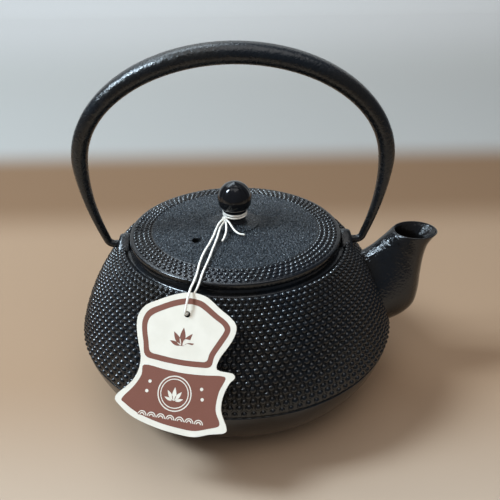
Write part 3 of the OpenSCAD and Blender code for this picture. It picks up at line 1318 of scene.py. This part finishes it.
@dataclass
class Lid:
    """The lid: a low dome with a sandy middle, a ring of studs, a plain edge and a ring below.

    swell and sand are the scale and the height of the noise that makes the middle uneven,
    from sand_start outwards. The sandy finish covers what lies above sandy_z within sandy_r.
    """

    dome_r: float = 298.355
    dome_top: float = 85
    under_z: float = 78.1
    thick: float = 2.8
    ring_r: float = 40.19
    ring_in: float = 38.2
    ring_z: float = 72.1
    bore_r: float = 2.1
    seat_z: float = 84.9
    studs: int = 100
    rows: int = 4
    stud_height: float = 0.78
    stud_radius: float = 1.24
    valley: float = 0.12
    band_start: float = 38.8
    band_end: float = 47.8
    sand_rings: int = 76
    sand_start: float = 11
    sand_fade: float = 3
    sand_end: float = 38.4
    swell: Flat = (0.5, 0.06)
    sand: Flat = (1.1, 0.44)
    sandy_r: float = 38.6
    sandy_z: float = 81.5
    vent_r: float = 23.6
    vent_turn: float = 222
    vent_d: float = 4.3
    vent_z: float = 76
    vent_length: float = 14
    steep: float = 0.4
    rim: tuple[Flat, ...] = (
        (49.15, 80.75), (49.26, 80.5), (49.29, 80.2), (49.29, 78.7), (49.2, 78.35), (48.9, 78.15),
    )  # fmt: skip

    def height(self, r: float) -> float:
        """The dome's height at a radius."""
        return self.dome_top - self.dome_r + math.sqrt(self.dome_r**2 - r * r)

    def band(self, along: float) -> tuple[Flat, Flat]:
        """The surface between the lid's studs.

        Args:
            along: Distance out from the band's start.

        Returns:
            The (radius, height) there and the outward normal.
        """
        r = self.band_start + along
        lean = r / self.dome_r
        return (r, self.height(r) - self.valley), (lean, math.sqrt(1 - lean * lean))

    def middle(self, skin: Skin, around: int) -> list[list[int]]:
        """Adds the sandy middle, from the bore out to the studs.

        Args:
            skin: The lid's skin.
            around: Points in each ring.

        Returns:
            The rings' point numbers.
        """
        (swell_scale, swell), (sand_scale, sand) = self.swell, self.sand
        rings = []
        for k in range(self.sand_rings + 1):
            r = self.bore_r + (self.sand_end - self.bore_r) * k / self.sand_rings
            points = circle(r, min(self.height(r), self.seat_z), around)
            fade = min(1.0, self.sand_rings - k, max(0.0, r - self.sand_start) / self.sand_fade)
            for p in points:
                p.z += fade * (swell * noise.noise(p * swell_scale) + sand * noise.noise(p * sand_scale))
            rings.append(skin.add(points))
        skin.sleeve(rings)
        return rings

    def edge(self) -> list[Flat]:
        """The outline from the studs over the plain edge and the ring below to the bore's foot.

        Returns:
            Its (radius, height) points.
        """
        return [
            *((r, self.height(r)) for r in (48, 48.3, 48.6)),
            (48.95, self.height(49) - 0.05), *self.rim, (48.5, self.under_z),
            (self.ring_r + 0.41, self.under_z), (self.ring_r, self.under_z - 0.3),
            (self.ring_r, self.ring_z + 0.3), (self.ring_r - 0.29, self.ring_z),
            (self.ring_in + 0.3, self.ring_z), (self.ring_in, self.ring_z + 0.3),
            (self.ring_in, self.height(38) - self.thick - 0.6),
            *((r, self.height(r) - self.thick) for r in (37.4, 30, 20, 10, self.bore_r)),
        ]  # fmt: skip

    def build(self) -> Object:
        """Builds the lid as one closed skin.

        Returns:
            The lid.
        """
        skin = Skin()
        span = self.band_end - self.band_start
        studded = StudField(
            self.band, self.studs, self.rows, span, self.stud_height, self.stud_radius, seed=11
        )
        low, high = studded.build(skin)
        middle = self.middle(skin, len(low))
        skin.join(middle[-1], low)
        outer = skin.turn(self.edge(), len(high))
        skin.join(high, outer[0])
        skin.join(outer[-1], middle[0])
        lid = skin.piece("lid_casting", Crease.CASTING)
        c, s = aim(self.vent_turn)
        foot = Vector((self.vent_r * c, self.vent_r * s, self.vent_z))
        return cut(lid, rod(foot, foot + UP * self.vent_length, self.vent_d / 2))

    def dress(self, iron: Material, sandy: Material) -> None:
        """Builds the lid, puts it on its body, gives its middle its finish and paints shade inside its vent.

        Args:
            iron: The finish of the studs, the edge and the underside.
            sandy: The middle's finish.
        """
        lid = fit(self.build(), Body.LID, Slot.IRON, iron, "lid")
        # painted shade: the vent's inner wall is matt near-black, so the hole reads dark
        vent_shade = MattFinish("vent_painted_shade", (0.002, 0.002, 0.002), (0.001, 0.001, 0.001), 0.9).material()
        lid.data.materials.append(sandy)
        lid.data.materials.append(vent_shade)
        sandy_index, vent_shade_index = 1, 2
        c, s = aim(self.vent_turn)
        for face in lid.data.polygons:
            x, y, z = face.center / MM
            if z > self.sandy_z and math.hypot(x, y) < self.sandy_r:
                face.material_index = sandy_index
            from_vent = math.hypot(x - self.vent_r * c, y - self.vent_r * s)
            if from_vent < self.vent_d / 2 + 0.05 and abs(face.normal.z) < self.steep:
                face.material_index = vent_shade_index


@dataclass
class Knob:
    """The bud-shaped knob on its plate, with the shank that it turns on."""

    plate_z: float = 84.9
    foot_z: float = 85.9
    petals: int = 8
    petal_depth: float = 0.04
    petal_start: float = 7
    petal_fade: float = 8
    petal_twist: float = 0.05
    tip: float = 19.65
    around: int = 128
    disc: tuple[Flat, ...] = (
        (2.1, 0), (10.9, -0.08), (11.25, 0.05), (11.3, 0.25), (11.1, 0.5), (10.6, 0.66), (9.4, 0.78),
        (7, 0.92), (2.1, 1),
    )  # fmt: skip
    outline: tuple[Flat, ...] = (
        (5.5, 0), (5.7, 0.3), (5.5, 0.7), (5, 1.3), (4.75, 2.2), (4.7, 3.6), (4.75, 4.6), (5.1, 5),
        (5.5, 5.3), (5.5, 5.6), (5.3, 5.9), (5.5, 6.2), (6.2, 6.9), (6.9, 7.7), (7.45, 8.8),
        (7.75, 10), (7.85, 11.2), (7.75, 12.6), (7.4, 14), (6.8, 15.4), (5.9, 16.7), (4.8, 17.8),
        (3.5, 18.6), (2.2, 19.1), (1.2, 19.35), (0.6, 19.5),
    )  # fmt: skip

    def plate(self) -> Object:
        """Builds the low round plate under the knob.

        Returns:
            The plate.
        """
        skin = Skin()
        rings = skin.turn([(r, self.plate_z + z) for r, z in self.disc], 120)
        skin.join(rings[-1], rings[0])
        return skin.piece("knob_plate_disc", Crease.CASTING)

    def bud(self) -> Object:
        """Builds the bud, with shallow petal lines that fade towards its neck.

        Returns:
            The bud.
        """
        skin = Skin()
        rings = []
        for r, z in curve_through(self.outline, 3):
            rise = max(0.0, min(1.0, (z - self.petal_start) / self.petal_fade))
            points = circle(r, self.foot_z + z, self.around)
            for i, p in enumerate(points):
                wave = abs(math.sin(self.petals * math.pi * i / self.around + self.petal_twist * z))
                shrink = 1 - self.petal_depth * rise * (1 - wave) ** 2
                p.x *= shrink
                p.y *= shrink
            rings.append(skin.add(points))
        skin.sleeve(rings)
        skin.fan(rings[-1], Vector((0, 0, self.foot_z + self.tip)))
        skin.fan(rings[0], Vector((0, 0, self.foot_z)))
        return skin.piece("knob_bud", Crease.BUD)

    def dress(self, sandy: Material, enamel: Material, steel: Material) -> None:
        """Builds the plate and the bud, puts them on their bodies and dresses the shank.

        Args:
            sandy: The plate's finish.
            enamel: The bud's finish.
            steel: The finish of the shank and its washer, which stay as they are in the frame.
        """
        fit(self.plate(), Body.LID, Slot.IRON, sandy, "knob_plate")
        fit(self.bud(), Body.KNOB, Slot.GLOSS, enamel, "knob")
        for name in ("knob_shank", "shank_washer"):
            for material_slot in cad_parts[name].material_slots:
                material_slot.material = steel


@dataclass
class Strainer:
    """The strainer in the mouth: a rolled rim and a basket of crossed wires."""

    rim_r: float = 43.99
    wall_r: float = 41.19
    rim_z: float = 76.45
    rim_t: float = 1.1
    depth: float = 44
    wire: float = 0.34
    upright: int = 150
    hoops: int = 25
    hem: float = 0.3
    hoop_sides: int = 96
    floor_wires: int = 40

    def rim(self) -> Object:
        """Builds the rim with rounded edges and a shallow channel.

        Returns:
            The rim.
        """
        skin = Skin()
        z, r, i = self.rim_z, self.rim_r, self.wall_r - 0.6
        top = z + self.rim_t
        loop = [(i, z + 0.1), (i, z + 0.9), (i + 0.15, z + 1.08), (i + 0.6, top), (i + 0.9, z + 0.9)]
        loop += [(r - 0.9, z + 0.9), (r - 0.6, top), (r - 0.15, z + 1.05), (r, z + 0.8), (r, z + 0.2)]
        loop += [(r - 0.2, z), (i + 0.2, z)]
        rings = skin.turn(loop, 128)
        skin.join(rings[-1], rings[0])
        return skin.piece("strainer_rim_roll", Crease.CASTING)

    def strand(self, skin: Skin, line: Sequence[Vector], closed: bool, square: Vector) -> None:
        """Adds one wire of four sides.

        Args:
            skin: The basket's skin.
            line: The wire's middle line.
            closed: Whether it returns to its start.
            square: A direction that the wire never runs along.
        """
        rings = []
        for k, p in enumerate(line):
            along = direction(line, k, closed)
            u = along.cross(square).normalized() * self.wire / 2
            v = along.cross(u)
            rings.append(skin.add([p + u, p + v, p - u, p - v]))
        skin.sleeve(rings, closed)
        if not closed:
            skin.faces += [tuple(rings[0]), tuple(reversed(rings[-1]))]

    def basket(self) -> Object:
        """Builds the basket's side: uprights outside and hoops inside.

        Returns:
            The basket's side.
        """
        skin = Skin()
        low = self.rim_z - self.depth
        outer, inner = self.wall_r - self.wire / 2, self.wall_r - self.wire * 1.3
        for k in range(self.upright):
            c, s = spoke(k, self.upright)
            line = [Vector((outer * c, outer * s, low + self.depth * share)) for share in (0.004, 0.5, 1)]
            self.strand(skin, line, False, Vector((c, s, 0)))
        for k in range(self.hoops):
            z = low + self.hem + (self.depth - 2 * self.hem) * k / (self.hoops - 1)
            self.strand(skin, circle(inner, z, self.hoop_sides), True, UP)
        return skin.piece("strainer_basket", Crease.SHEET)

    def base(self) -> Object:
        """Builds the basket's floor of crossed wires in a hoop.

        Returns:
            The basket's floor.
        """
        skin = Skin()
        z = self.rim_z - self.depth + self.hem
        r = self.wall_r - 0.8
        for k in range(1, self.floor_wires):
            y = r * (2 * k / self.floor_wires - 1)
            x = math.sqrt(r * r - y * y)
            self.strand(skin, [Vector((-x, y, z - 0.1)), Vector((x, y, z - 0.1))], False, UP)
            self.strand(skin, [Vector((y, -x, z + 0.1)), Vector((y, x, z + 0.1))], False, UP)
        self.strand(skin, circle(r, z, self.hoop_sides), True, UP)
        return skin.piece("strainer_floor", Crease.SHEET)

    def dress(self, steel: Material) -> None:
        """Builds the rim, the side and the floor and puts them on their body.

        Args:
            steel: Their finish.
        """
        fit(self.rim(), Body.STRAINER, Slot.STEEL, steel, "strainer_rim")
        fit(self.basket(), Body.STRAINER, Slot.STEEL, steel, "strainer_wall")
        fit(self.base(), Body.STRAINER, Slot.STEEL, steel, "strainer_base")


@dataclass
class Tag:
    """The die-cut card that leans on the shoulder, with plain ornaments printed on it.

    Its outlines are (across, up) points from its foot point, which is a gap out from the
    shoulder's arc.
    """

    turn: float = -106
    lean: float = 34
    gap: float = 2
    thick: float = 0.6
    ink_thick: float = 0.03
    hole: Flat = (-3.8, 6.8)
    hole_d: float = 2.6
    wave_t: float = 0.42
    outline: tuple[Flat, ...] = (
        (-5, 15.6), (-11, 13.8), (-17, 11), (-22, 8.2), (-24.6, 4), (-24.6, -1), (-23, -7),
        (-21, -13), (-21.4, -19), (-24, -24), (-29.6, -30.4), (-26.6, -34), (-20, -37.6),
        (-10, -40), (-1, -41), (6, -41), (12, -39), (18, -37.4), (18.4, -35), (15.4, -29),
        (15.6, -23), (17.4, -18), (19.2, -15.6), (18, -14), (11.6, -13.4), (12, -9),
        (15, -3.6), (17, 1), (17, 5), (14, 8), (10, 10.4), (4, 14.4), (-0.5, 15.6),
    )  # fmt: skip
    frame_out: tuple[Flat, ...] = (
        (-4.6, 13.3), (-10.2, 11.7), (-15.8, 9.1), (-20.2, 6.6), (-22.2, 3.2), (-22.3, -1), (-20.8, -6.6),
        (-19.2, -12), (-14, -13.2), (-5, -13.8), (4, -13.6), (8.8, -12.6), (9.9, -8.2), (12.8, -2.6),
        (14.7, 1.4), (14.7, 4), (12.6, 6.3), (8.8, 8.5), (2.9, 12.3), (-0.8, 13.3),
    )  # fmt: skip
    frame_in: tuple[Flat, ...] = (
        (-4.4, 10.9), (-9.4, 9.4), (-14.6, 7), (-18.4, 4.7), (-19.9, 2.3), (-20, -1), (-18.7, -6),
        (-17.3, -10.2), (-13, -11), (-5, -11.6), (3, -11.4), (6.8, -10.7), (7.8, -7.2), (10.8, -1.4),
        (12.4, 1.8), (12.4, 3.2), (11, 4.7), (7.6, 6.6), (2, 10), (-1, 10.9),
    )  # fmt: skip
    field_edge: tuple[Flat, ...] = (
        (-19, -15.8), (-10, -16.4), (-2, -16.8), (6, -16.4), (13.6, -15.6), (15.6, -16.6), (13.6, -22),
        (13.2, -29), (15.4, -33.6), (15, -35.4), (11.4, -36.8), (5.8, -38.6), (-1, -38.6), (-9.6, -37.7),
        (-19, -35.4), (-25, -32.4), (-26.6, -30.6), (-22.2, -25), (-19.6, -20),
    )  # fmt: skip

    @cached_property
    def foot(self) -> Flat:
        """Its foot point's radius and height, to a thousandth: a gap out from the shoulder.

        Returns:
            The radius and the height.
        """
        pot = Pot()
        (x, z), (c, s), out = pot.shoulder_c, aim(self.lean), pot.shoulder_round + self.gap
        return round(x + out * c, 3), round(z + out * s, 3)

    def onto(self, point: Sequence[float]) -> Vector:
        """Takes a point of the flat card to its place against the pot.

        Args:
            point: Across the card, up it, and out from its back, in millimetres.

        Returns:
            The place in the frame.
        """
        flat = Matrix.Rotation(math.pi / 2, 4, "Z")
        tilt = Matrix.Rotation(math.pi / 2 - math.radians(self.lean), 4, "Y")
        foot_r, foot_z = self.foot
        shift = Matrix.Translation((foot_r, 0, foot_z))
        return Matrix.Rotation(math.radians(self.turn), 4, "Z") @ shift @ tilt @ flat @ Vector(point)

    def sheet(self, name: str, loops: Sequence[Sequence[Flat]], low: float, high: float) -> Object:
        """Builds a flat shape with holes, between two heights over the card's back.

        Args:
            name: The piece's name.
            loops: Closed outlines; one inside another is a hole.
            low: The lower face's height.
            high: The upper face's height.

        Returns:
            The piece, in place.
        """
        curve = bpy.data.curves.new(name, "CURVE")
        curve.dimensions = "2D"
        curve.fill_mode = "BOTH"
        curve.extrude = (high - low) / 2
        for loop in loops:
            spline = curve.splines.new("POLY")
            spline.points.add(len(loop) - 1)
            for point, (x, y) in zip(spline.points, loop):
                point.co = (x, y, 0, 1)
            spline.use_cyclic_u = True
        holder = linked(name, curve)
        mesh = mesh_of(holder)
        bpy.data.objects.remove(holder)
        bm = bmesh.new()
        bm.from_mesh(mesh)
        bmesh.ops.remove_doubles(bm, verts=bm.verts, dist=0.001)
        for v in bm.verts:
            v.co = self.onto((v.co.x, v.co.y, v.co.z + (low + high) / 2)) * MM
        bm.to_mesh(mesh)
        bm.free()
        mesh.name = name
        return finished(name, mesh, Crease.SHEET)

    def ellipse(self, x: float, y: float, rx: float, ry: float, count: int = 40) -> list[Flat]:
        """An ellipse's points on the card.

        Args:
            x: Its centre, across.
            y: Its centre, up.
            rx: Its half width.
            ry: Its half height.
            count: How many points.

        Returns:
            The points.
        """
        return [(x + rx * c, y + ry * s) for c, s in (spoke(i, count) for i in range(count))]

    def leaf(self, x: float, y: float, length: float, width: float, turn: float) -> list[Flat]:
        """A pointed leaf's outline.

        Args:
            x: Its stalk's end, across.
            y: Its stalk's end, up.
            length: Its length.
            width: Its width.
            turn: Its direction, in degrees.

        Returns:
            The points.
        """
        c, s = aim(turn)
        side = [(length * i / 10, width / 2 * math.sin(math.pi * (i / 10) ** 0.85)) for i in range(11)]
        both = side + [(a, -b) for a, b in reversed(side[1:-1])]
        return [(x + a * c - b * s, y + a * s + b * c) for a, b in both]

    def smooth(self, loop: Sequence[Flat], steps: int = 4) -> list[Flat]:
        """A closed outline, rounded through its points."""
        return [(p[0], p[1]) for p in curve_through(loop, steps, closed=True)]

    def card(self) -> Object:
        """Builds the card with its hole."""
        hole = self.ellipse(*self.hole, self.hole_d / 2, self.hole_d / 2, count=32)
        return self.sheet("tag_board", [self.smooth(self.outline), hole], 0, self.thick)

    def wave(self, x: float, y: float, r: float) -> list[Flat]:
        """A thin half ring, open downwards.

        Args:
            x: Its centre, across.
            y: Its centre, up.
            r: Its outer radius.

        Returns:
            The points.
        """
        turns = [math.pi * i / 14 for i in range(15)]
        outer = [(x + r * math.cos(t), y + r * math.sin(t)) for t in turns]
        r -= self.wave_t
        inner = [(x + r * math.cos(t), y + r * math.sin(t)) for t in reversed(turns)]
        return outer + inner

    def sprig(self, x: float, y: float, size: float) -> list[list[Flat]]:
        """Five pointed leaves that rise from one place.

        Args:
            x: The place, across.
            y: The place, up.
            size: The longest leaf's length.

        Returns:
            The leaves' outlines.
        """
        leaves = ((90, 1, 0.2), (55, 0.85, 0.5), (125, 0.85, 0.5), (20, 0.62, 0.8), (160, 0.62, 0.8))
        out = []
        for turn, share, away in leaves:
            c, s = aim(turn)
            out.append(self.leaf(x + away * c, y + away * s, size * share, size * share * 0.32, turn))
        return out

    def ornaments(self) -> list[list[Flat]]:
        """The printed outlines: a frame with a sprig, and a field with a roundel and waves.

        Returns:
            The outlines.
        """
        roundel = [self.ellipse(-4.6, -25.4, r, r) for r in (7.2, 6.7, 6, 5.6)]
        waves = [self.wave(x, -35.9, r) for x in range(-17, 11, 4) for r in (1.9, 1.1)]
        wide_sprig = self.sprig(-4.4, -6.4, 7.6)
        small_sprig = self.sprig(-4.6, -28.6, 5.6)
        places = ((-15.6, -22), (-16.4, -26), (6.4, -22), (7.2, -26))
        berries = [self.ellipse(x, y, 0.7, 0.7, count=16) for x, y in places]
        return [
            self.smooth(self.frame_out), self.smooth(self.frame_in), self.smooth(self.field_edge),
            *roundel, *waves, *wide_sprig, *small_sprig, *berries,
        ]  # fmt: skip

    def film(self) -> Object:
        """Builds the ink as a film on the card's face."""
        return self.sheet("tag_ink", self.ornaments(), self.thick, self.thick + self.ink_thick)

    def dress(self) -> list[Object]:
        """Builds the card and its ink and puts them on their body.

        Returns:
            Both pieces.
        """
        board = MattFinish("cream_card", (0.65, 0.61, 0.53), (0.61, 0.57, 0.49)).material()
        ink = MattFinish("brown_ink", (0.165, 0.062, 0.043), (0.16, 0.06, 0.04), 0.6).material()
        card = fit(self.card(), Body.LID, Slot.CARD, board, "tag_card")
        film = fit(self.film(), Body.LID, Slot.CARD, ink)
        return [card, film]


@dataclass
class TagString:
    """The cotton twine: turns round the knob's neck, a knot, two tails and the loop through the tag.

    The strands show as a rise and fall of the radius by a share of it, called dip, and go
    round once in each lay. Each of the turns is its height, its lean and the angle, in
    radians, at which it is highest. The knot's size is its width, height and depth.
    """

    radius: float = 0.5
    strands: int = 3
    dip: float = 0.12
    lay: float = 2.4
    turn_r: float = 5.3
    turn_points: int = 116
    turns: tuple[Place, ...] = ((89.65, 0.35, 1.5), (90.75, 0.3, 1.8))
    knot: Flat = (-4.5, -5.2)
    knot_z: float = 89.1
    knot_out: float = 0.35
    knot_size: Place = (0.36, 0.42, 0.42)
    knot_points: int = 90
    loop: tuple[Place, ...] = (
        (-5.5, -5, 89), (-6.6, -6.4, 88.6), (-7.7, -8.6, 88.1), (-8.5, -11.2, 87.6), (-9.1, -13.6, 87.1),
        (-9.8, -16.4, 86.6), (-10.7, -19.2, 86.1), (-11.6, -22, 85.6), (-12.7, -25, 85.1),
        (-13.7, -28, 84.7), (-14.5, -31, 84.3), (-15.1, -34, 84), (-15.6, -37, 83.7), (-16, -40, 83.3),
        (-16.4, -43, 82.9), (-17, -46, 82.4), (-17.7, -48.8, 81.9), (-18.5, -51.2, 81.3),
        (-19.2, -53.4, 80.1), (-19.8, -55, 78.4), (-20.4, -56.4, 76.4), (-20.8, -57.2, 74.4),
        (-21, -57.4, 73.2), (-20.8, -56.9, 72), (-20.4, -55.8, 71.3), (-20.1, -54.7, 71.6),
        (-19.7, -53.8, 72.6), (-19.2, -53, 74), (-18.5, -52.2, 76), (-17.4, -51.2, 78.2),
        (-16.3, -50.8, 80.1), (-15.5, -49.9, 81.6), (-15, -47.8, 82.2), (-14.5, -45.2, 82.5),
        (-13.9, -42, 82.9), (-13.1, -39, 83.4), (-12.3, -36, 83.8), (-11.6, -33, 84.1),
        (-10.9, -30, 84.5), (-10.3, -27, 84.9), (-9.6, -24, 85.3), (-8.9, -21, 85.7),
        (-8.3, -18, 86), (-7.8, -15, 86.3), (-7.3, -12, 86.7), (-6.9, -9.6, 87), (-6.1, -7.4, 87.4),
        (-5.1, -5.4, 87.9),
    )  # fmt: skip
    long_tail: tuple[Place, ...] = (
        (-4.3, -6.1, 88.2), (-4.1, -8.8, 87.8), (-4.1, -11.6, 87.1), (-4.4, -14.4, 86.4),
        (-5, -17, 85.8), (-5.9, -19.2, 85.3),
    )  # fmt: skip
    short_tail: tuple[Place, ...] = (
        (-4.2, -6.2, 89.3), (-2.8, -8.2, 88.9), (-1.6, -10.6, 88), (-0.3, -12.8, 87),
        (1.5, -14.2, 86.2), (4, -14.7, 85.8),
    )  # fmt: skip

    def twine(self, skin: Skin, line: Sequence[Vector], closed: bool = False, sides: int = 12) -> None:
        """Adds a length of three-ply twine.

        Args:
            skin: The skin that it becomes part of.
            line: Its middle line, evenly spaced.
            closed: Whether it returns to its start.
            sides: Points in each ring.
        """
        gap = (line[1] - line[0]).length
        twist = FULL * gap / self.lay
        if closed:
            part = FULL / self.strands
            twist = part * max(1, round(len(line) * twist / part)) / len(line)
        side = (line[1] - line[0]).orthogonal().normalized()
        rings = []
        for k, p in enumerate(line):
            along = direction(line, k, closed)
            side = (side - along * side.dot(along)).normalized()
            other = along.cross(side)
            ring = []
            for i in range(sides):
                t = FULL * i / sides
                r = self.radius * (1 - self.dip + self.dip * math.cos(self.strands * (t - twist * k)))
                ring.append(p + r * (math.cos(t) * side + math.sin(t) * other))
            rings.append(skin.add(ring))
        skin.sleeve(rings, closed)
        if not closed:
            skin.fan(rings[0], line[0] - (line[1] - line[0]))
            skin.fan(rings[-1], line[-1] + (line[-1] - line[-2]))

    def run(self, name: str, route: Sequence[Place]) -> Object:
        """Builds one open length of twine along a route.

        Args:
            name: The piece's name.
            route: The route's points.

        Returns:
            The twine.
        """
        skin = Skin()
        self.twine(skin, evenly(curve_through(route, 6), 0.3))
        return skin.piece(name, Crease.TWINE)

    def windings(self) -> Object:
        """Builds the turns round the knob's neck, a little uneven.

        Returns:
            The turns.
        """
        skin = Skin()
        r = self.turn_r
        steps = [FULL * k / self.turn_points for k in range(self.turn_points)]
        for z, lean, high in self.turns:
            ring = [Vector((r * math.cos(t), r * math.sin(t), z + lean * math.cos(t - high))) for t in steps]
            self.twine(skin, ring, closed=True)
        return skin.piece("string_windings", Crease.TWINE)

    def tied(self) -> Object:
        """Builds the knot as a tight overhand knot of the same twine.

        Returns:
            The knot.
        """
        skin = Skin()
        middle = Vector((*self.knot, self.knot_z))
        out = Vector((*self.knot, 0)).normalized()
        across = UP.cross(out)
        wide, high, deep = self.knot_size
        line = []
        for k in range(self.knot_points):
            t = FULL * k / self.knot_points
            x = (math.sin(t) + 2 * math.sin(2 * t)) * wide
            y = (math.cos(t) - 2 * math.cos(2 * t)) * high
            z = -math.sin(3 * t) * deep
            line.append(middle + across * x + UP * y + out * (z + self.knot_out))
        self.twine(skin, evenly(line, 0.22, closed=True), closed=True)
        return skin.piece("string_tie", Crease.TWINE)

    def length(self) -> float:
        """The loop's length, in metres."""
        return sum((Vector(b) - Vector(a)).length for a, b in zip(self.loop, self.loop[1:])) * MM

    def dress(self) -> tuple[Object, list[Object]]:
        """Builds the twine and puts it on the lid.

        Returns:
            The loop and the other pieces of twine.
        """
        cotton = TwineFinish("cotton_twine").material()
        loop = fit(self.run("string_loop_twine", self.loop), Body.LID, Slot.COTTON, cotton, "string_loop")
        others = []
        for node, route in (("string_tail_long", self.long_tail), ("string_tail_short", self.short_tail)):
            others.append(fit(self.run(node + "_twine", route), Body.LID, Slot.COTTON, cotton, node))
        others.append(fit(self.tied(), Body.LID, Slot.COTTON, cotton, "string_knot"))
        others.append(fit(self.windings(), Body.LID, Slot.COTTON, cotton, "string_turns"))
        return loop, others


# ---------------------------------------------------------------- camera, lights and stage


@dataclass(frozen=True)
class Lamp:
    """A soft rectangular lamp that faces the pot: its place in metres, size, watts and colour."""

    name: str
    place: Place
    size: Flat
    watts: float
    colour: Colour
    mirrored: bool = True

    def hang(self) -> None:
        """Makes the lamp. One that isn't mirrored leaves no glint on the glossy pieces."""
        data = bpy.data.lights.new(self.name, "AREA")
        data.shape = "RECTANGLE"
        data.size, data.size_y = self.size
        data.energy = self.watts
        data.color = self.colour
        lamp = linked(self.name, data)
        lamp.location = self.place
        lamp.rotation_euler = (Vector(POT_MIDDLE) - Vector(self.place)).to_track_quat("-Z", "Y").to_euler()
        lamp.visible_glossy = self.mirrored


@dataclass
class Studio:
    """The camera, the soft lights and the plain floor and wall.

    The camera looks at its focus and is then turned by pan, tilt and roll, in degrees.
    """

    eye: Place = (0, -0.293417, 0.231843)
    focus: Place = (0, 0, 0.045)
    pan: float = 1.1644
    tilt: float = 3.5749
    roll: float = -0.58
    lens: float = 50.4
    sensor: float = 36
    wall_start: float = 0.95
    cove: float = 0.1
    wall_top: float = 0.85
    half_width: float = 1.1
    cove_steps: int = 16
    air: Colour = (0.7, 0.8, 0.95)
    air_strength: float = 0.16
    lamps: tuple[Lamp, ...] = (
        Lamp("left_window", (-0.8, -0.06, 0.98), (0.32, 0.38), 25, (0.7, 0.86, 1)),
        Lamp("back_window", (-0.42, 0.8, 1.15), (0.8, 0.5), 6, (0.78, 0.9, 1)),
        Lamp("overhead", (0.1, -0.1, 1.5), (1.3, 1.1), 6, (0.98, 0.97, 0.96)),
        Lamp("front_fill", (0.15, -0.9, 1.25), (1.4, 0.9), 11, (1, 0.93, 0.85), mirrored=False),
    )

    def camera(self) -> None:
        """Makes the scene's camera."""
        forward = (Vector(self.focus) - Vector(self.eye)).normalized()
        right = Vector((1, 0, 0))
        up = right.cross(forward)
        forward += math.tan(math.radians(self.pan)) * right + math.tan(math.radians(self.tilt)) * up
        forward.normalize()
        right = forward.cross(UP).normalized()
        up = right.cross(forward)
        c, s = aim(self.roll)
        right, up = c * right + s * up, c * up - s * right
        data = bpy.data.cameras.new("camera")
        data.lens = self.lens
        data.sensor_width = self.sensor
        data.clip_start = 0.01
        place = Matrix((right, up, -forward)).transposed().to_4x4()
        place.translation = Vector(self.eye)
        camera = linked("camera", data)
        camera.matrix_world = place
        bpy.context.scene.camera = camera

    def lights(self) -> None:
        """Makes the windows, the soft overhead light, the front fill and the pale surroundings."""
        for lamp in self.lamps:
            lamp.hang()
        world = bpy.data.worlds.new("room")
        bpy.context.scene.world = world
        world.use_nodes = True
        back = world.node_tree.nodes["Background"]
        back.inputs["Color"].default_value = (*self.air, 1)
        back.inputs["Strength"].default_value = self.air_strength

    def stage(self) -> None:
        """Makes one sweep of floor and wall, joined by a soft curve far behind the pot."""
        mesh = bpy.data.meshes.new("sweep")
        side = [(y, 0) for y in (-0.5, -0.2, 0, 0.2, 0.6, self.wall_start)]
        for i in range(1, self.cove_steps + 1):
            c, s = aim(90 * i / self.cove_steps)
            side.append((self.wall_start + self.cove * s, self.cove * (1 - c)))
        side.append((self.wall_start + self.cove, self.wall_top))
        points = [(x, y, z) for y, z in side for x in (-self.half_width, self.half_width)]
        faces = [(2 * i, 2 * i + 1, 2 * i + 3, 2 * i + 2) for i in range(len(side) - 1)]
        mesh.from_pydata(points, [], faces)
        mesh.polygons.foreach_set("use_smooth", [True] * len(faces))
        mesh.materials.append(SweepFinish("sweep_paper").material())
        linked("sweep", mesh)


# ---------------------------------------------------------------- the teapot


def main() -> None:
    """Builds every sub-assembly in order, then the studio round them."""
    logging.basicConfig(level=logging.INFO, format="%(name)s: %(message)s")
    bpy.context.scene.view_settings.view_transform = "Standard"
    studio = Studio()
    studio.camera()
    string = TagString()
    loop, twines = string.dress()

    studded_iron = IronFinish("studded_iron").material()
    smooth_iron = IronFinish(
        "smooth_iron", roughness=0.25, peel=900, peel_depth=0.26, grain_depth=0.03
    ).material()
    spout_iron = IronFinish("spout_iron", roughness=0.14, peel=850, peel_depth=0.26).material()
    sandy_iron = SandFinish("sandy_iron").material()
    enamel = GlossFinish("knob_enamel").material()
    steel = SteelFinish("bright_steel").material()

    Pot().dress(studded_iron)
    Spout().dress(spout_iron)
    Ears().dress(smooth_iron)
    Handle().dress(smooth_iron)
    Lid().dress(studded_iron, sandy_iron)
    Knob().dress(sandy_iron, enamel, steel)
    Strainer().dress(steel)
    card, film = Tag().dress()

    route = [Vector(p) * MM for p in string.loop]
    tuple(route[0])
    round(string.length(), 4)
    [tuple(p) for p in route]
    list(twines)  # fmt: skip
    studio.lights()
    studio.stage()


if __name__ == "__main__":
    main()
